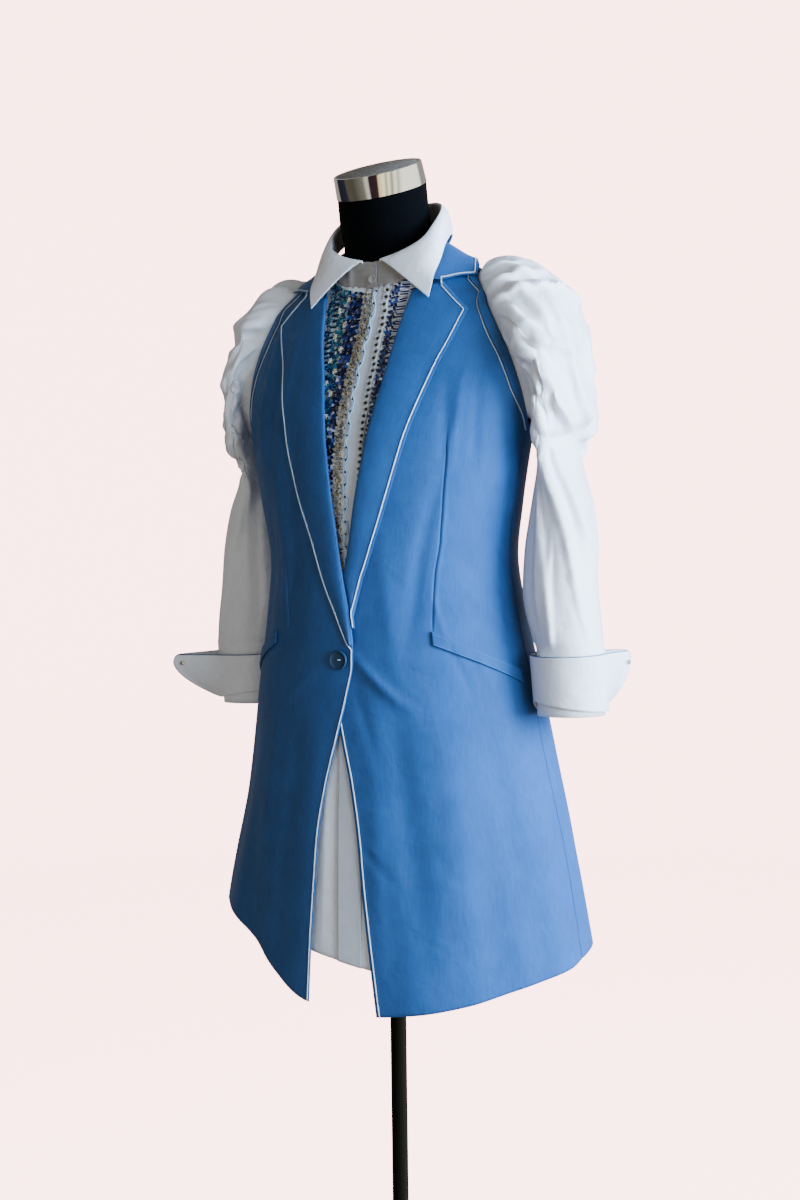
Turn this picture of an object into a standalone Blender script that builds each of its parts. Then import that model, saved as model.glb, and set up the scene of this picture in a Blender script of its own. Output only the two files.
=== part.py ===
"""Blazer dress on a limbless dress form stand.

A halter-cut blazer dress with notch lapels, one button and welt pockets, with a built-in
white shirt front, shirt collar and pleated puff sleeves. It hangs on a black dress form on a pole.

Metres, +Z up. The dress faces -Y and the wearer's left is +X. The origin is the middle of the
base plate's underside. A side of +1 is the wearer's left and -1 the wearer's right.
An angle on the body is 0 at the centre front, +90 at the wearer's left and 180 at the centre back.
"""

import bpy
import numpy as np
from mathutils import Matrix, Vector

LEFT, RIGHT = 1, -1

# Walls and gaps
SUITING_WALL = 0.0016
SHIRTING_WALL = 0.0012
COLLAR_WALL = 0.0014
SEAM_GAP = 0.0003
PANEL_SEAM = 0.0013    # at the outer face; the walls close to about 0.3 mm inside a curve
LAID_GAP = 0.0007
BAND_GAP = 0.0015

# Stand
BASE_RADIUS = 0.165
BASE_RIM = 0.006
BASE_RISE = 0.012
HUB_RADIUS = 0.021
HUB_TOP = 0.040
POLE_RADIUS = 0.009
CAP_RADIUS = 0.0503
CAP_TAPER = 0.0012       # the cap's rim is narrower than its foot
CAP_HEIGHT = 0.0245
CAP_ROUND = 0.003
NECK_LEAN = np.radians(23)
BODY_BACK = 0.021        # the dress and its form hang a little behind the pole's axis

# Dress landmarks
HEM_ROW = 0.600
HEM_FADE_TOP = 0.950
UNDERARM = 1.228
SHOULDER_EDGE = 1.400
NECK_EDGE = 1.415
SIDE_SEAM = np.radians(86)
SHOULDER_SEAM = np.radians(90)
CENTRE_BACK = np.radians(180)
OVERLAP_LIFT = 0.0024
SHIRT_DEPTH = -0.0045
SHIRT_SEWN_DEPTH = -0.0028
BAND_WIDTH = 0.014
WELT_DEPTH = 0.014
BUTTON_RADIUS = 0.0105
BUTTON_HEIGHT = 0.983

# Body of the dress, its outer face: height, half width, front y, back y, y of the widest point
DRESS = np.array([
    (0.600, 0.222, -0.150, 0.190, 0.015),
    (0.700, 0.208, -0.148, 0.176, 0.012),
    (0.780, 0.197, -0.146, 0.156, 0.006),
    (0.880, 0.178, -0.141, 0.127, -0.002),
    (0.960, 0.165, -0.137, 0.108, -0.008),
    (1.030, 0.152, -0.134, 0.090, -0.012),
    (1.090, 0.145, -0.133, 0.078, -0.015),
    (1.150, 0.154, -0.134, 0.078, -0.020),
    (1.205, 0.165, -0.130, 0.082, -0.024),
    (1.245, 0.172, -0.120, 0.086, -0.022),
    (1.290, 0.174, -0.103, 0.088, -0.016),
    (1.330, 0.173, -0.086, 0.082, -0.008),
    (1.360, 0.165, -0.073, 0.070, -0.003),
    (1.385, 0.132, -0.063, 0.056, 0.000),
    (1.400, 0.103, -0.058, 0.049, 0.000),
    (1.415, 0.080, -0.055, 0.044, 0.000),
    (1.430, 0.064, -0.054, 0.040, -0.004),
])

# Dress form, the same columns
FORM = np.array([
    (0.780, 0.120, -0.086, 0.086, 0.000),
    (0.786, 0.146, -0.106, 0.104, 0.000),
    (0.850, 0.158, -0.114, 0.112, 0.000),
    (0.930, 0.153, -0.114, 0.098, -0.004),
    (1.020, 0.134, -0.110, 0.078, -0.010),
    (1.090, 0.124, -0.106, 0.064, -0.014),
    (1.150, 0.132, -0.108, 0.064, -0.018),
    (1.205, 0.147, -0.110, 0.068, -0.020),
    (1.245, 0.154, -0.106, 0.072, -0.018),
    (1.290, 0.155, -0.091, 0.074, -0.012),
    (1.330, 0.153, -0.074, 0.068, -0.006),
    (1.360, 0.146, -0.060, 0.056, -0.002),
    (1.385, 0.1244, -0.051, 0.0398, 0.000),
    (1.400, 0.0962, -0.049, 0.0336, 0.000),
    (1.415, 0.0750, -0.050, 0.030, -0.003),
    (1.432, 0.0550, -0.056, 0.021, -0.012),
    (1.458, 0.0515, -0.070, 0.014, -0.026),
])
NECK_TOP = (0.0497, -0.0333, 1.4918)    # radius, middle y, middle height
NECK_TAPER = 5                          # form rows over which the rings tip forward

# Hem: angle in degrees, height
HEM = np.array([
    (-180, 0.700),
    (-90, 0.712),
    (-65, 0.703),
    (-38, 0.674),
    (-24, 0.645),
    (-10, 0.6215),
    (11, 0.6135),
    (21, 0.617),
    (37, 0.6266),
    (61, 0.645),
    (88, 0.662),
    (120, 0.678),
    (180, 0.700),
])

# Soft folds of the skirt: angle and half width in degrees, depth outwards, height where it starts
SKIRT_FOLDS = np.array([
    (-66, 32, 0.014, 0.840),
    (-38, 12, -0.003, 0.860),
    (27, 12, 0.003, 0.820),
    (50, 14, -0.004, 0.880),
    (74, 13, 0.003, 0.820),
    (112, 14, -0.004, 0.900),
    (140, 15, 0.006, 0.900),
    (166, 12, -0.004, 0.860),
    (-166, 12, -0.004, 0.860),
    (-140, 15, 0.006, 0.900),
    (-112, 14, -0.004, 0.900),
])
FOLD_GROWTH = 0.16

# Front edges: height, distance from the centre to its own side for the right and the left front
FRONT_EDGE = np.array([
    (0.600, 0.0370, 0.0445),
    (0.675, 0.0325, 0.0352),
    (0.736, 0.0277, 0.0280),
    (0.797, 0.0226, 0.0220),
    (0.850, 0.0135, 0.0135),
    (0.900, 0.0013, 0.0023),
    (0.950, -0.0110, -0.0080),
    (0.983, -0.0166, -0.0125),
    (1.015, -0.0140, -0.0090),
    (1.075, -0.0030, 0.0075),
    (1.140, 0.0070, 0.0191),
    (1.215, 0.0197, 0.0323),
    (1.281, 0.0339, 0.0425),
    (1.330, 0.0475, 0.0480),
    (1.372, 0.0550, 0.0550),
    (1.390, 0.0600, 0.0600),
    (1.415, 0.0700, 0.0700),
])

# Armhole: height, angle of its front and of its back edge in degrees
ARMHOLE = np.array([
    (UNDERARM, 86, 86),
    (1.240, 82.5, 98),
    (1.263, 76, 108),
    (1.305, 64.5, 120),
    (1.348, 53.6, 129),
    (1.362, 52.5, 130),
    (1.378, 56.5, 126),
    (1.392, 67, 114),
    (SHOULDER_EDGE, 90, 90),
])

# Lapel: height, distance of its outer edge from the centre
LAPEL_EDGE = np.array([
    (0.995, -0.0130),
    (1.025, 0.0045),
    (1.057, 0.0230),
    (1.108, 0.0410),
    (1.160, 0.0580),
    (1.222, 0.0755),
    (1.258, 0.0865),
    (1.290, 0.0960),
    (1.3165, 0.1055),
    (1.350, 0.1165),
])
LAPEL_POINT = 1.350
GORGE_HEIGHT = 1.374
NOTCH_SHARE, NOTCH_RISE = 0.46, 0.0185
RIGHT_LAPEL_FOOT, LEFT_LAPEL_FOOT = 0.998, 1.052
ROLL = ((-0.0010, 0.0010), (-0.0014, 0.0026), (0.0002, 0.0042))    # shift and lift of its rolled edge

# Blazer collar from the centre back to its front end: fold line x, y, z and outer edge x, y, z
BLAZER_COLLAR = np.array([
    (0.000, 0.036, 1.446, 0.000, 0.060, 1.401),
    (0.038, 0.024, 1.444, 0.052, 0.051, 1.403),
    (0.056, -0.002, 1.438, 0.086, 0.031, 1.409),
    (0.065, -0.024, 1.425, 0.098, 0.004, 1.414),
    (0.066, -0.0470, 1.4070, 0.109, -0.018, 1.404),
    (0.062, -0.0655, 1.3855, 0.1165, -0.0345, 1.391),
])

# Shirt collar, the same columns
SHIRT_COLLAR = np.array([
    (0.000, 0.025, 1.484, 0.000, 0.050, 1.441),
    (0.034, 0.015, 1.482, 0.038, 0.039, 1.440),
    (0.057, -0.009, 1.471, 0.0620, 0.009, 1.4450),
    (0.0630, -0.030, 1.4555, 0.0725, -0.026, 1.4310),
    (0.0580, -0.050, 1.433, 0.0775, -0.053, 1.4040),
    (0.0330, -0.061, 1.4165, 0.0765, -0.067, 1.3845),
    (0.0105, -0.0642, 1.4100, 0.0730, -0.0715, 1.3645),
])
STAND_HEIGHT = 0.026
COLLAR_SHIFT = 0.003     # the shirt collar sits a little to the wearer's left
COLLAR_MIDDLE = -0.018

# Sleeve rings: outer x, z, inner x, z, middle y, half depth, pleat height
SLEEVE = np.array([
    (0.116, 1.408, 0.181, 1.232, 0.000, 0.056, 0.0020),
    (0.136, 1.411, 0.185, 1.227, 0.000, 0.061, 0.0040),
    (0.158, 1.407, 0.187, 1.221, 0.000, 0.065, 0.0055),
    (0.179, 1.393, 0.187, 1.214, 0.000, 0.067, 0.0055),
    (0.203, 1.371, 0.186, 1.207, 0.000, 0.067, 0.0050),
    (0.215, 1.337, 0.184, 1.200, 0.000, 0.066, 0.0050),
    (0.216, 1.295, 0.182, 1.193, 0.000, 0.063, 0.0050),
    (0.220, 1.256, 0.180, 1.186, 0.000, 0.058, 0.0050),
    (0.217, 1.228, 0.178, 1.178, 0.000, 0.053, 0.0045),
    (0.210, 1.208, 0.176, 1.166, 0.000, 0.049, 0.0035),
    (0.214, 1.184, 0.172, 1.150, 0.000, 0.047, 0.0025),
    (0.226, 1.150, 0.166, 1.126, 0.000, 0.045, 0.0018),
    (0.234, 1.105, 0.160, 1.093, 0.000, 0.043, 0.0014),
    (0.238, 1.050, 0.159, 1.046, 0.000, 0.042, 0.0012),
    (0.2430, 1.005, 0.1690, 1.005, 0.000, 0.0385, 0.0008),
    (0.2461, 0.985, 0.1749, 0.985, 0.000, 0.0356, 0.0000),
    (0.2461, 0.922, 0.1749, 0.922, 0.000, 0.0356, 0.0000),
])
ARM_SWING = {LEFT: -0.016, RIGHT: 0.014}    # how far the cuff hangs in front of or behind the shoulder

# Pleats gathered into the armhole: degrees from the top of the sleeve, to the front
PLEATS = np.array([-112, -90, -69, -48, -28, -8, 12, 31, 50, 70, 91, 113])
UNDERARM_COLUMNS = 6
SLEEVE_SEAM_GAP = 0.0014
PUFF_RINGS = 6          # rings over which the armhole's own shape fades
PUFF_TUCK = {LEFT: 0.0, RIGHT: 0.013}

# Cuff
CUFF_TOP = {LEFT: 0.987, RIGHT: 0.981}
CUFF_FOOT = 0.927
CUFF_RADIUS = 0.0380
CUFF_WING = {LEFT: 0.040, RIGHT: 0.054}
CUFF_FLARE = 0.0035
WING_TURN = {LEFT: np.radians(60), RIGHT: np.radians(-30)}    # from sideways to the back
WING_GAP = np.radians(1.5)
STUD_RADIUS = 0.0028
STUD_PLACE = (0.40, 0.55)       # share towards the tip and share up the corner of the wing
STUD_LIFT = {LEFT: 0.0021, RIGHT: 0.0007}    # over the twisted corner


def smooth_curve(keys, values, at):
    """Smooth curve through a table that never overshoots its own values."""
    step = np.diff(keys)
    slope = np.diff(values) / step
    total = slope[:-1] + slope[1:]
    same_way = slope[:-1] * slope[1:] > 0
    inner = np.where(same_way, 2 * slope[:-1] * slope[1:] / np.where(total == 0, 1, total), 0)
    tangent = np.concatenate([[slope[0]], inner, [slope[-1]]])
    at = np.clip(at, keys[0], keys[-1])
    i = np.clip(np.searchsorted(keys, at, side="right") - 1, 0, len(step) - 1)
    t = (at - keys[i]) / step[i]
    return ((1 + 2 * t) * (1 - t) ** 2 * values[i] + t * (1 - t) ** 2 * step[i] * tangent[i]
            + t * t * (3 - 2 * t) * values[i + 1] + t * t * (t - 1) * step[i] * tangent[i + 1])


def column(table, index, at):
    return smooth_curve(table[:, 0], table[:, index], at)


def ease(value, start, end):
    """0 before start, 1 after end, smooth between them."""
    t = np.clip((value - start) / (end - start), 0, 1)
    return t * t * (3 - 2 * t)


def half_turn(angle):
    """The same angle between -180 and 180 degrees."""
    return (angle + np.pi) % (2 * np.pi) - np.pi


def oval(table, angle, height, bulge=0.0):
    """Point of a section made of a front and a back half ellipse."""
    width, front, back, widest = (column(table, i, height) for i in range(1, 5))
    across, forward = np.sin(angle), np.cos(angle)
    depth = np.where(forward > 0, widest - front, back - widest)
    return np.stack([width * across + bulge * across,
                     widest - depth * forward - bulge * forward,
                     height + 0 * angle], -1)


def skirt_bulge(angle, height):
    """How far the folds of the skirt push its surface out."""
    total = np.zeros(np.broadcast(angle, height).shape)
    for middle, half_width, depth, top in SKIRT_FOLDS:
        away = np.degrees(half_turn(angle - np.radians(middle))) / half_width
        ridge = np.where(np.abs(away) < 1, np.cos(away * np.pi / 2) ** 2, 0)
        total = total + depth * ridge * ease(top - height, 0, FOLD_GROWTH)
    return total


def dress_face(angle, height):
    return oval(DRESS, angle, height, skirt_bulge(angle, height))


def dress_point(angle, height, lift=0.0):
    """Point of the dress's outer face, moved out along its normal by lift."""
    angle, height, lift = np.broadcast_arrays(angle, height, lift)
    step = 1e-4
    around = dress_face(angle + step, height) - dress_face(angle - step, height)
    upward = dress_face(angle, height + step) - dress_face(angle, height - step)
    normal = np.cross(around, upward)
    normal /= np.linalg.norm(normal, axis=-1, keepdims=True)
    return dress_face(angle, height) + normal * lift[..., None]


def angle_of(distance, height):
    """Angle on the body of a distance from the centre front."""
    return np.arcsin(np.clip(distance / column(DRESS, 1, height), -1, 1))


def hem_drop(angle, row):
    """How far a row's height moves at an angle, so that the lowest row follows the hem."""
    degrees = np.degrees(half_turn(angle))
    share = np.clip(1 - (row - HEM_ROW) / (HEM_FADE_TOP - HEM_ROW), 0, 1) ** 1.5
    return (column(HEM, 1, degrees) - HEM_ROW) * share


def front_lift(side, angle, height):
    """The right front laps over the left one."""
    if side == LEFT:
        return np.zeros(np.broadcast(angle, height).shape)
    near_centre = ease(np.degrees(angle), -30, -12)
    return OVERLAP_LIFT * near_centre * (1 - ease(height, 1.08, 1.20))


def front_edge(side, height):
    """Distance of a front's free edge or roll line from the centre, to its own side."""
    return column(FRONT_EDGE, 2 if side == LEFT else 1, height)


def armhole_angle(height, back=False):
    return np.radians(column(ARMHOLE, 2 if back else 1, height))


def clear_scene():
    for thing in list(bpy.data.objects):
        bpy.data.objects.remove(thing, do_unlink=True)


def finish(name, colour, roughness, metallic=0.0):
    """Plain material of a piece."""
    material = bpy.data.materials.new(name)
    material.use_nodes = True
    shader = material.node_tree.nodes["Principled BSDF"]
    shader.inputs["Base Color"].default_value = (*colour, 1.0)
    shader.inputs["Roughness"].default_value = roughness
    shader.inputs["Metallic"].default_value = metallic
    return material


def place(name, mesh, material, smooth_angle=40):
    """Named object of a mesh, in the part's collection."""
    mesh.materials.append(material)
    mesh.shade_smooth()
    mesh.set_sharp_from_angle(angle=np.radians(smooth_angle))
    thing = bpy.data.objects.new(name, mesh)
    bpy.data.collections["blazer_dress"].objects.link(thing)
    return thing


def cloth(name, points, wall, material, closed=False):
    """Wall of cloth from a grid of its outer points, thickened inwards."""
    rows, columns = points.shape[:2]
    row, col = np.meshgrid(np.arange(rows - 1), np.arange(columns if closed else columns - 1),
                           indexing="ij")
    beside = (col + 1) % columns
    corners = [row * columns + col, row * columns + beside,
               (row + 1) * columns + beside, (row + 1) * columns + col]
    faces = np.stack(corners, -1).reshape(-1, 4)
    mesh = bpy.data.meshes.new(name)
    mesh.from_pydata(points.reshape(-1, 3).tolist(), [], faces.tolist())
    thing = place(name, mesh, material)
    thickness = thing.modifiers.new("wall", "SOLIDIFY")
    thickness.thickness = wall
    thickness.offset = -1
    thickness.use_quality_normals = True
    return thing


def turned(name, profile, material, steps=40):
    """Solid turned about +Z from a profile of radius and height that runs from top to bottom."""
    mesh = bpy.data.meshes.new(name)
    points = [(radius, 0.0, height) for radius, height in profile]
    edges = [(i, i + 1) for i in range(len(points) - 1)]
    mesh.from_pydata(points, edges, [])
    thing = place(name, mesh, material)
    spin = thing.modifiers.new("turn", "SCREW")
    spin.steps = spin.render_steps = steps
    spin.use_merge_vertices = True
    spin.merge_threshold = 0.00005
    return thing


def rows_of_heights(*stretches):
    """Heights of a panel's rows from stretches of start, end and number of steps."""
    parts = [np.linspace(start, end, steps + 1)[:-1] for start, end, steps in stretches]
    return np.concatenate(parts + [[stretches[-1][1]]])


PANEL_ROWS = rows_of_heights((HEM_ROW, 1.090, 9), (1.090, UNDERARM, 5), (UNDERARM, 1.362, 6),
                             (1.362, SHOULDER_EDGE, 4), (SHOULDER_EDGE, NECK_EDGE, 2))


def side_edge(back):
    """Angle of a panel's outer edge on each row: side seam, armhole, then shoulder seam."""
    half_gap = PANEL_SEAM / 2 / column(DRESS, 1, PANEL_ROWS)
    sign = 1 if back else -1
    edge = armhole_angle(PANEL_ROWS, back)
    edge = np.where(PANEL_ROWS <= UNDERARM + 1e-6, SIDE_SEAM, edge)
    edge = np.where(PANEL_ROWS >= SHOULDER_EDGE - 1e-6, SHOULDER_SEAM, edge)
    return edge + sign * half_gap


def panel(name, side, inner, outer, columns, material, lift=None):
    """Body panel between two edges, given as angles on each row."""
    across = np.linspace(0, 1, columns)
    angle = side * (inner[:, None] + (outer - inner)[:, None] * across)
    row = PANEL_ROWS[:, None]
    height = row + hem_drop(angle, row)
    points = dress_point(angle, height, 0.0 if lift is None else lift(angle, height))
    if side * (outer[0] - inner[0]) < 0:
        points = points[:, ::-1]
    return cloth(name, points, SUITING_WALL, material)


def make_fronts(material):
    for side, name in ((LEFT, "front_left"), (RIGHT, "front_right")):
        inner = angle_of(front_edge(side, PANEL_ROWS), PANEL_ROWS)
        panel(name, side, inner, side_edge(back=False), 12, material,
              lambda angle, height, side=side: front_lift(side, angle, height))


def make_backs(material):
    for side, name in ((LEFT, "back_left"), (RIGHT, "back_right")):
        seam = CENTRE_BACK - PANEL_SEAM / 2 / column(DRESS, 1, PANEL_ROWS)
        panel(name, side, seam, side_edge(back=True), 10, material)


def lapel_points(side, foot, rows=17, columns=5):
    """Grid of a lapel's outer face: rows up its length, columns from the roll to its edge."""
    share = np.linspace(0, 1, rows)[:, None]
    roll_height = foot + (GORGE_HEIGHT - foot) * share
    edge_height = foot + (LAPEL_POINT - foot) * share
    roll = front_edge(side, roll_height)
    if side == LEFT:
        roll = np.maximum(roll, 0.0045 - front_edge(RIGHT, roll_height))
    edge = np.maximum(column(LAPEL_EDGE, 1, edge_height), roll + 0.0035)
    start_shift, start_lift = ROLL[-1]
    across = np.linspace(0, 1, columns)[None, 1:]
    x = roll + start_shift + (edge - roll - start_shift) * across
    z = roll_height + (edge_height - roll_height) * across
    peak = 1 - np.abs(across - NOTCH_SHARE) / np.where(across < NOTCH_SHARE, NOTCH_SHARE,
                                                        1 - NOTCH_SHARE)
    z = z + NOTCH_RISE * peak * ease(share, 0.86, 1)
    lift = start_lift - 0.0020 * across + 0 * x
    for shift, roll_lift in reversed(ROLL):
        x = np.concatenate([roll + shift, x], 1)
        z = np.concatenate([roll_height, z], 1)
        lift = np.concatenate([np.full_like(roll, roll_lift), lift], 1)
    angle = side * angle_of(x, z)
    return dress_point(angle, z, lift + front_lift(side, angle, z))


def make_lapels(material):
    for side, name, foot in ((LEFT, "lapel_left", LEFT_LAPEL_FOOT),
                             (RIGHT, "lapel_right", RIGHT_LAPEL_FOOT)):
        points = lapel_points(side, foot)
        if side == RIGHT:
            points = points[:, ::-1]
        cloth(name, points, COLLAR_WALL, material)


def collar_stations(table, count):
    """Fold line and outer edge all round, from the right front end by the back to the left."""
    knots = np.linspace(0, 1, len(table))
    along = np.linspace(-1, 1, count)
    half = np.stack([smooth_curve(knots, table[:, i], np.abs(along)) for i in range(6)], -1)
    mirror = np.where(along < 0, -1, 1)
    half[:, 0] *= mirror
    half[:, 3] *= mirror
    return half[:, :3], half[:, 3:]


def outward(points):
    """Level direction away from the neck."""
    away = points - np.array([0, COLLAR_MIDDLE, 0])
    away[..., 2] = 0
    return away / np.linalg.norm(away, axis=-1, keepdims=True)


def collar_fall(fold, edge, rise, swell, columns):
    """Grid from the fold line out and down to the collar's edge."""
    across = np.linspace(0, 1, columns)[None, :, None]
    start = fold + np.array([0, 0, rise]) + outward(fold) * 0.0008
    straight = start[:, None] * (1 - across) + edge[:, None] * across
    arch = np.sin(np.pi * across ** 0.7)
    return straight + outward(fold)[:, None] * swell * arch + np.array([0, 0, 0.4 * swell]) * arch


def make_blazer_collar(material):
    fold, edge = collar_stations(BLAZER_COLLAR, 23)
    fall = collar_fall(fold, edge, 0.0, 0.0030, 5)
    foot = dress_point(np.arctan2(fold[:, 0], -fold[:, 1]), NECK_EDGE + 0.0004)
    front_share = np.linspace(-1, 1, len(fold))[:, None]
    into_fall = ease(np.abs(front_share), 0.55, 0.75)
    foot = foot * (1 - into_fall) + (fold - np.array([0, 0, 0.002])) * into_fall
    inside = foot[:, None]
    grid = np.concatenate([inside, fall], 1)
    cloth("blazer_collar", grid[:, ::-1], COLLAR_WALL, material)


def make_shirt_collar(material):
    fold, edge = collar_stations(SHIRT_COLLAR, 27)
    fold[:, 0] += COLLAR_SHIFT
    edge[:, 0] += COLLAR_SHIFT
    fall = collar_fall(fold, edge, 0.0019, 0.0040, 6)
    cloth("shirt_collar", fall[:, ::-1], SHIRTING_WALL, material)
    down = np.linspace(0, 1, 3)[None, :, None]
    top = fold - np.array([0, 0, 0.0015])
    top[[0, -1], 0] = COLLAR_SHIFT + (top[[0, -1], 0] - COLLAR_SHIFT) * 0.1
    foot = top - np.array([0, 0, STAND_HEIGHT - 0.0015])
    stand = top[:, None] * (1 - down) + foot[:, None] * down
    cloth("shirt_collar_stand", stand[:, ::-1], SHIRTING_WALL, material)


def shirt_depth(distance, height, tucked):
    """The shirt front lies inside the fronts and comes forward at the collar."""
    depth = SHIRT_DEPTH + (SHIRT_SEWN_DEPTH - SHIRT_DEPTH) * tucked
    at_neck = ease(height, 1.340, 1.385) * (1 - ease(np.abs(distance), 0.030, 0.052))
    return depth + 0.0045 * at_neck


def shirt_height(distance, row):
    """Height of a row of the shirt front: a slanting hem, and a top that follows the collar."""
    hem = -0.19 * distance * (1 - ease(row, SHIRT_ROWS[0], 0.80))
    rise = np.interp(np.abs(distance), (0.004, 0.032, 0.062), (0.0, 0.0065, 0.0220))
    return row + hem + rise * ease(row, 1.300, SHIRT_TOP)


SHIRT_TOP = 1.382
SHIRT_ROWS = rows_of_heights((0.667, 1.090, 8), (1.090, 1.228, 5), (1.228, SHIRT_TOP, 6))
PLACKET_HALF = 0.014
PLACKET_SHORT = 0.0025    # the placket ends this much under the shirt front's top
PLACKET_MIDDLE = 0.012     # the shirt closes a little to the wearer's left


def make_shirt_front(shirting, satin):
    """Two shirt fronts, sewn in behind the roll lines, and the placket on their meeting edges."""
    for side, name in ((LEFT, "shirt_front_left"), (RIGHT, "shirt_front_right")):
        across = np.linspace(0, 1, 6)[None, :]
        row = SHIRT_ROWS[:, None]
        least = PLACKET_MIDDLE + 0.004 if side == LEFT else 0.006
        wide = np.maximum(front_edge(side, row), least) + 0.018
        meeting = PLACKET_MIDDLE + side * SEAM_GAP / 2
        x = meeting + (side * wide - meeting) * across
        z = shirt_height(x, row)
        points = dress_point(angle_of(x, z), z, shirt_depth(x, z, ease(across, 0.7, 1.0)))
        if side == RIGHT:
            points = points[:, ::-1]
        cloth(name, points, SHIRTING_WALL, shirting)
    x = PLACKET_MIDDLE + np.linspace(-PLACKET_HALF, PLACKET_HALF, 3)[None, :]
    row = SHIRT_ROWS[:, None]
    z = shirt_height(x, row) - PLACKET_SHORT * ease(row, 1.300, SHIRT_TOP)
    lift = shirt_depth(x, z, 0) + SHIRTING_WALL + LAID_GAP
    cloth("placket", dress_point(angle_of(x, z), z, lift), SHIRTING_WALL, satin)


def armhole_loop(turn):
    """Angle and height on the body of the armhole's edge; turn is 0 at its top, then to the front.

    Equal turns are equal lengths of the front half and of the back half of the edge.
    """
    fine = np.linspace(SHOULDER_EDGE, UNDERARM, 400)
    turn = half_turn(turn)
    share = np.abs(turn) / np.pi
    halves = []
    for back in (False, True):
        body_angle = armhole_angle(fine, back)
        edge = dress_face(body_angle, fine)
        length = np.concatenate([[0], np.cumsum(np.linalg.norm(np.diff(edge, axis=0), axis=-1))])
        height = np.interp(share * length[-1], length, fine)
        halves.append((armhole_angle(height, back), height))
    (front_angle, front_height), (back_angle, back_height) = halves
    to_front = turn >= 0
    return np.where(to_front, front_angle, back_angle), np.where(to_front, front_height, back_height)


def make_armhole_bands(material):
    """Flat band on the panels round each armhole, narrow at the underarm."""
    turn = np.linspace(0, 2 * np.pi, 37)[:-1]
    for side, name in ((LEFT, "armhole_band_left"), (RIGHT, "armhole_band_right")):
        body_angle, height = armhole_loop(turn)
        radius = column(DRESS, 1, height)
        flat = np.stack([body_angle * radius, height], -1)
        along = np.roll(flat, -1, 0) - np.roll(flat, 1, 0)
        normal = np.stack([along[:, 1], -along[:, 0]], -1)
        normal /= np.linalg.norm(normal, axis=-1, keepdims=True)
        away = flat - flat.mean(0)
        normal *= np.sign((normal * away).sum(-1, keepdims=True))
        width = BAND_WIDTH * (0.35 + 0.65 * ease(height, UNDERARM, UNDERARM + 0.05))
        steps = np.array([0.02, 0.5, 1.0])
        steps = steps[:, None, None] * width[None, :, None]
        grid = flat[None] + normal[None] * steps
        grid_angle = side * grid[..., 0] / radius[None]
        points = dress_point(grid_angle, grid[..., 1], SHIRTING_WALL + BAND_GAP)
        if side == LEFT:
            points = points[:, ::-1]
        cloth(name, points, SHIRTING_WALL, material, closed=True)


def make_pockets(material):
    """Slanted welt of each front pocket, just clear of its panel."""
    for side, name in ((LEFT, "pocket_welt_left"), (RIGHT, "pocket_welt_right")):
        share = np.linspace(0, 1, 8)[None, :]
        body_angle = np.radians(37.5 + 41.5 * share)
        top = 1.0125 - 0.0428 * share
        down = np.linspace(0, 1, 3)[:, None]
        z = top - WELT_DEPTH * (1 - down)
        lift = SUITING_WALL + LAID_GAP
        points = dress_point(side * body_angle + 0 * z, z, lift)
        if side == RIGHT:
            points = points[:, ::-1]
        cloth(name, points, SUITING_WALL, material)


def make_button(material):
    """Rimmed, dished button on the right front, at the waist."""
    rim, foot = BUTTON_RADIUS, BUTTON_RADIUS * 0.8
    profile = [(0.0, 0.0030), (rim * 0.66, 0.0032), (rim * 0.78, 0.0042), (rim * 0.92, 0.0042),
               (rim, 0.0030), (rim * 0.97, 0.0014), (foot, 0.0), (0.0, 0.0)]
    button = turned("button", profile, material, steps=24)
    spot = dress_point(angle_of(0.001, BUTTON_HEIGHT), BUTTON_HEIGHT, OVERLAP_LIFT + 0.0007)
    button.matrix_world = Matrix.Translation(spot.tolist()) @ Matrix.Rotation(np.pi / 2, 4, "X")


def sleeve_columns():
    """Angles round the sleeve: each pleat's crest and the valley behind it, then the underarm."""
    crests = np.radians(PLEATS)
    valleys = (crests[1:] + crests[:-1]) / 2
    gathered = np.sort(np.concatenate([crests, valleys]))
    below = np.linspace(gathered[-1], gathered[0] + 2 * np.pi, UNDERARM_COLUMNS + 2)[1:-1]
    height = np.concatenate([np.isin(gathered, crests) * 2.0 - 1.0, np.zeros(UNDERARM_COLUMNS)])
    return np.concatenate([gathered, below]), height


def sleeve_rings(side):
    turn, pleat = sleeve_columns()
    seam = dress_point(*armhole_loop(turn))
    inwards = seam.mean(0) - seam
    inwards /= np.linalg.norm(inwards, axis=-1, keepdims=True)
    seam = seam + inwards * SLEEVE_SEAM_GAP
    top, bottom = seam[np.argmax(seam[:, 2])], seam[np.argmin(seam[:, 2])]
    half_depth = np.ptp(seam[:, 1]) / 2
    plain = (top + bottom) / 2 + np.cos(turn)[:, None] * (top - bottom) / 2
    plain[:, 1] = -np.sin(turn) * half_depth
    rings = [seam]
    foot = SLEEVE[-1, 1]
    for number, row in enumerate(SLEEVE, 1):
        outer_x, outer_z, inner_x, inner_z, middle_y, half_depth, pleat_height = row
        tuck = PUFF_TUCK[side] * ease(outer_z, 1.11, 1.20) * ease(number, 1, 5)
        outer = np.array([outer_x - tuck, 0, outer_z])
        inner = np.array([inner_x - 0.8 * tuck, 0, inner_z])
        middle, reach = (outer + inner) / 2, (outer - inner) / 2
        size = 1 + pleat * pleat_height / np.linalg.norm(reach)
        ring = middle + np.cos(turn)[:, None] * reach * size[:, None]
        swing = ARM_SWING[side] * ease(SHOULDER_EDGE - ring[:, 2], 0.12, SHOULDER_EDGE - foot)
        ring[:, 1] = middle_y + swing - np.sin(turn) * half_depth * size
        ring += (seam - plain) * (1 - ease(number, 0, PUFF_RINGS))
        rings.append(ring)
    rings = np.array(rings)
    rings[..., 0] *= side
    return rings


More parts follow.
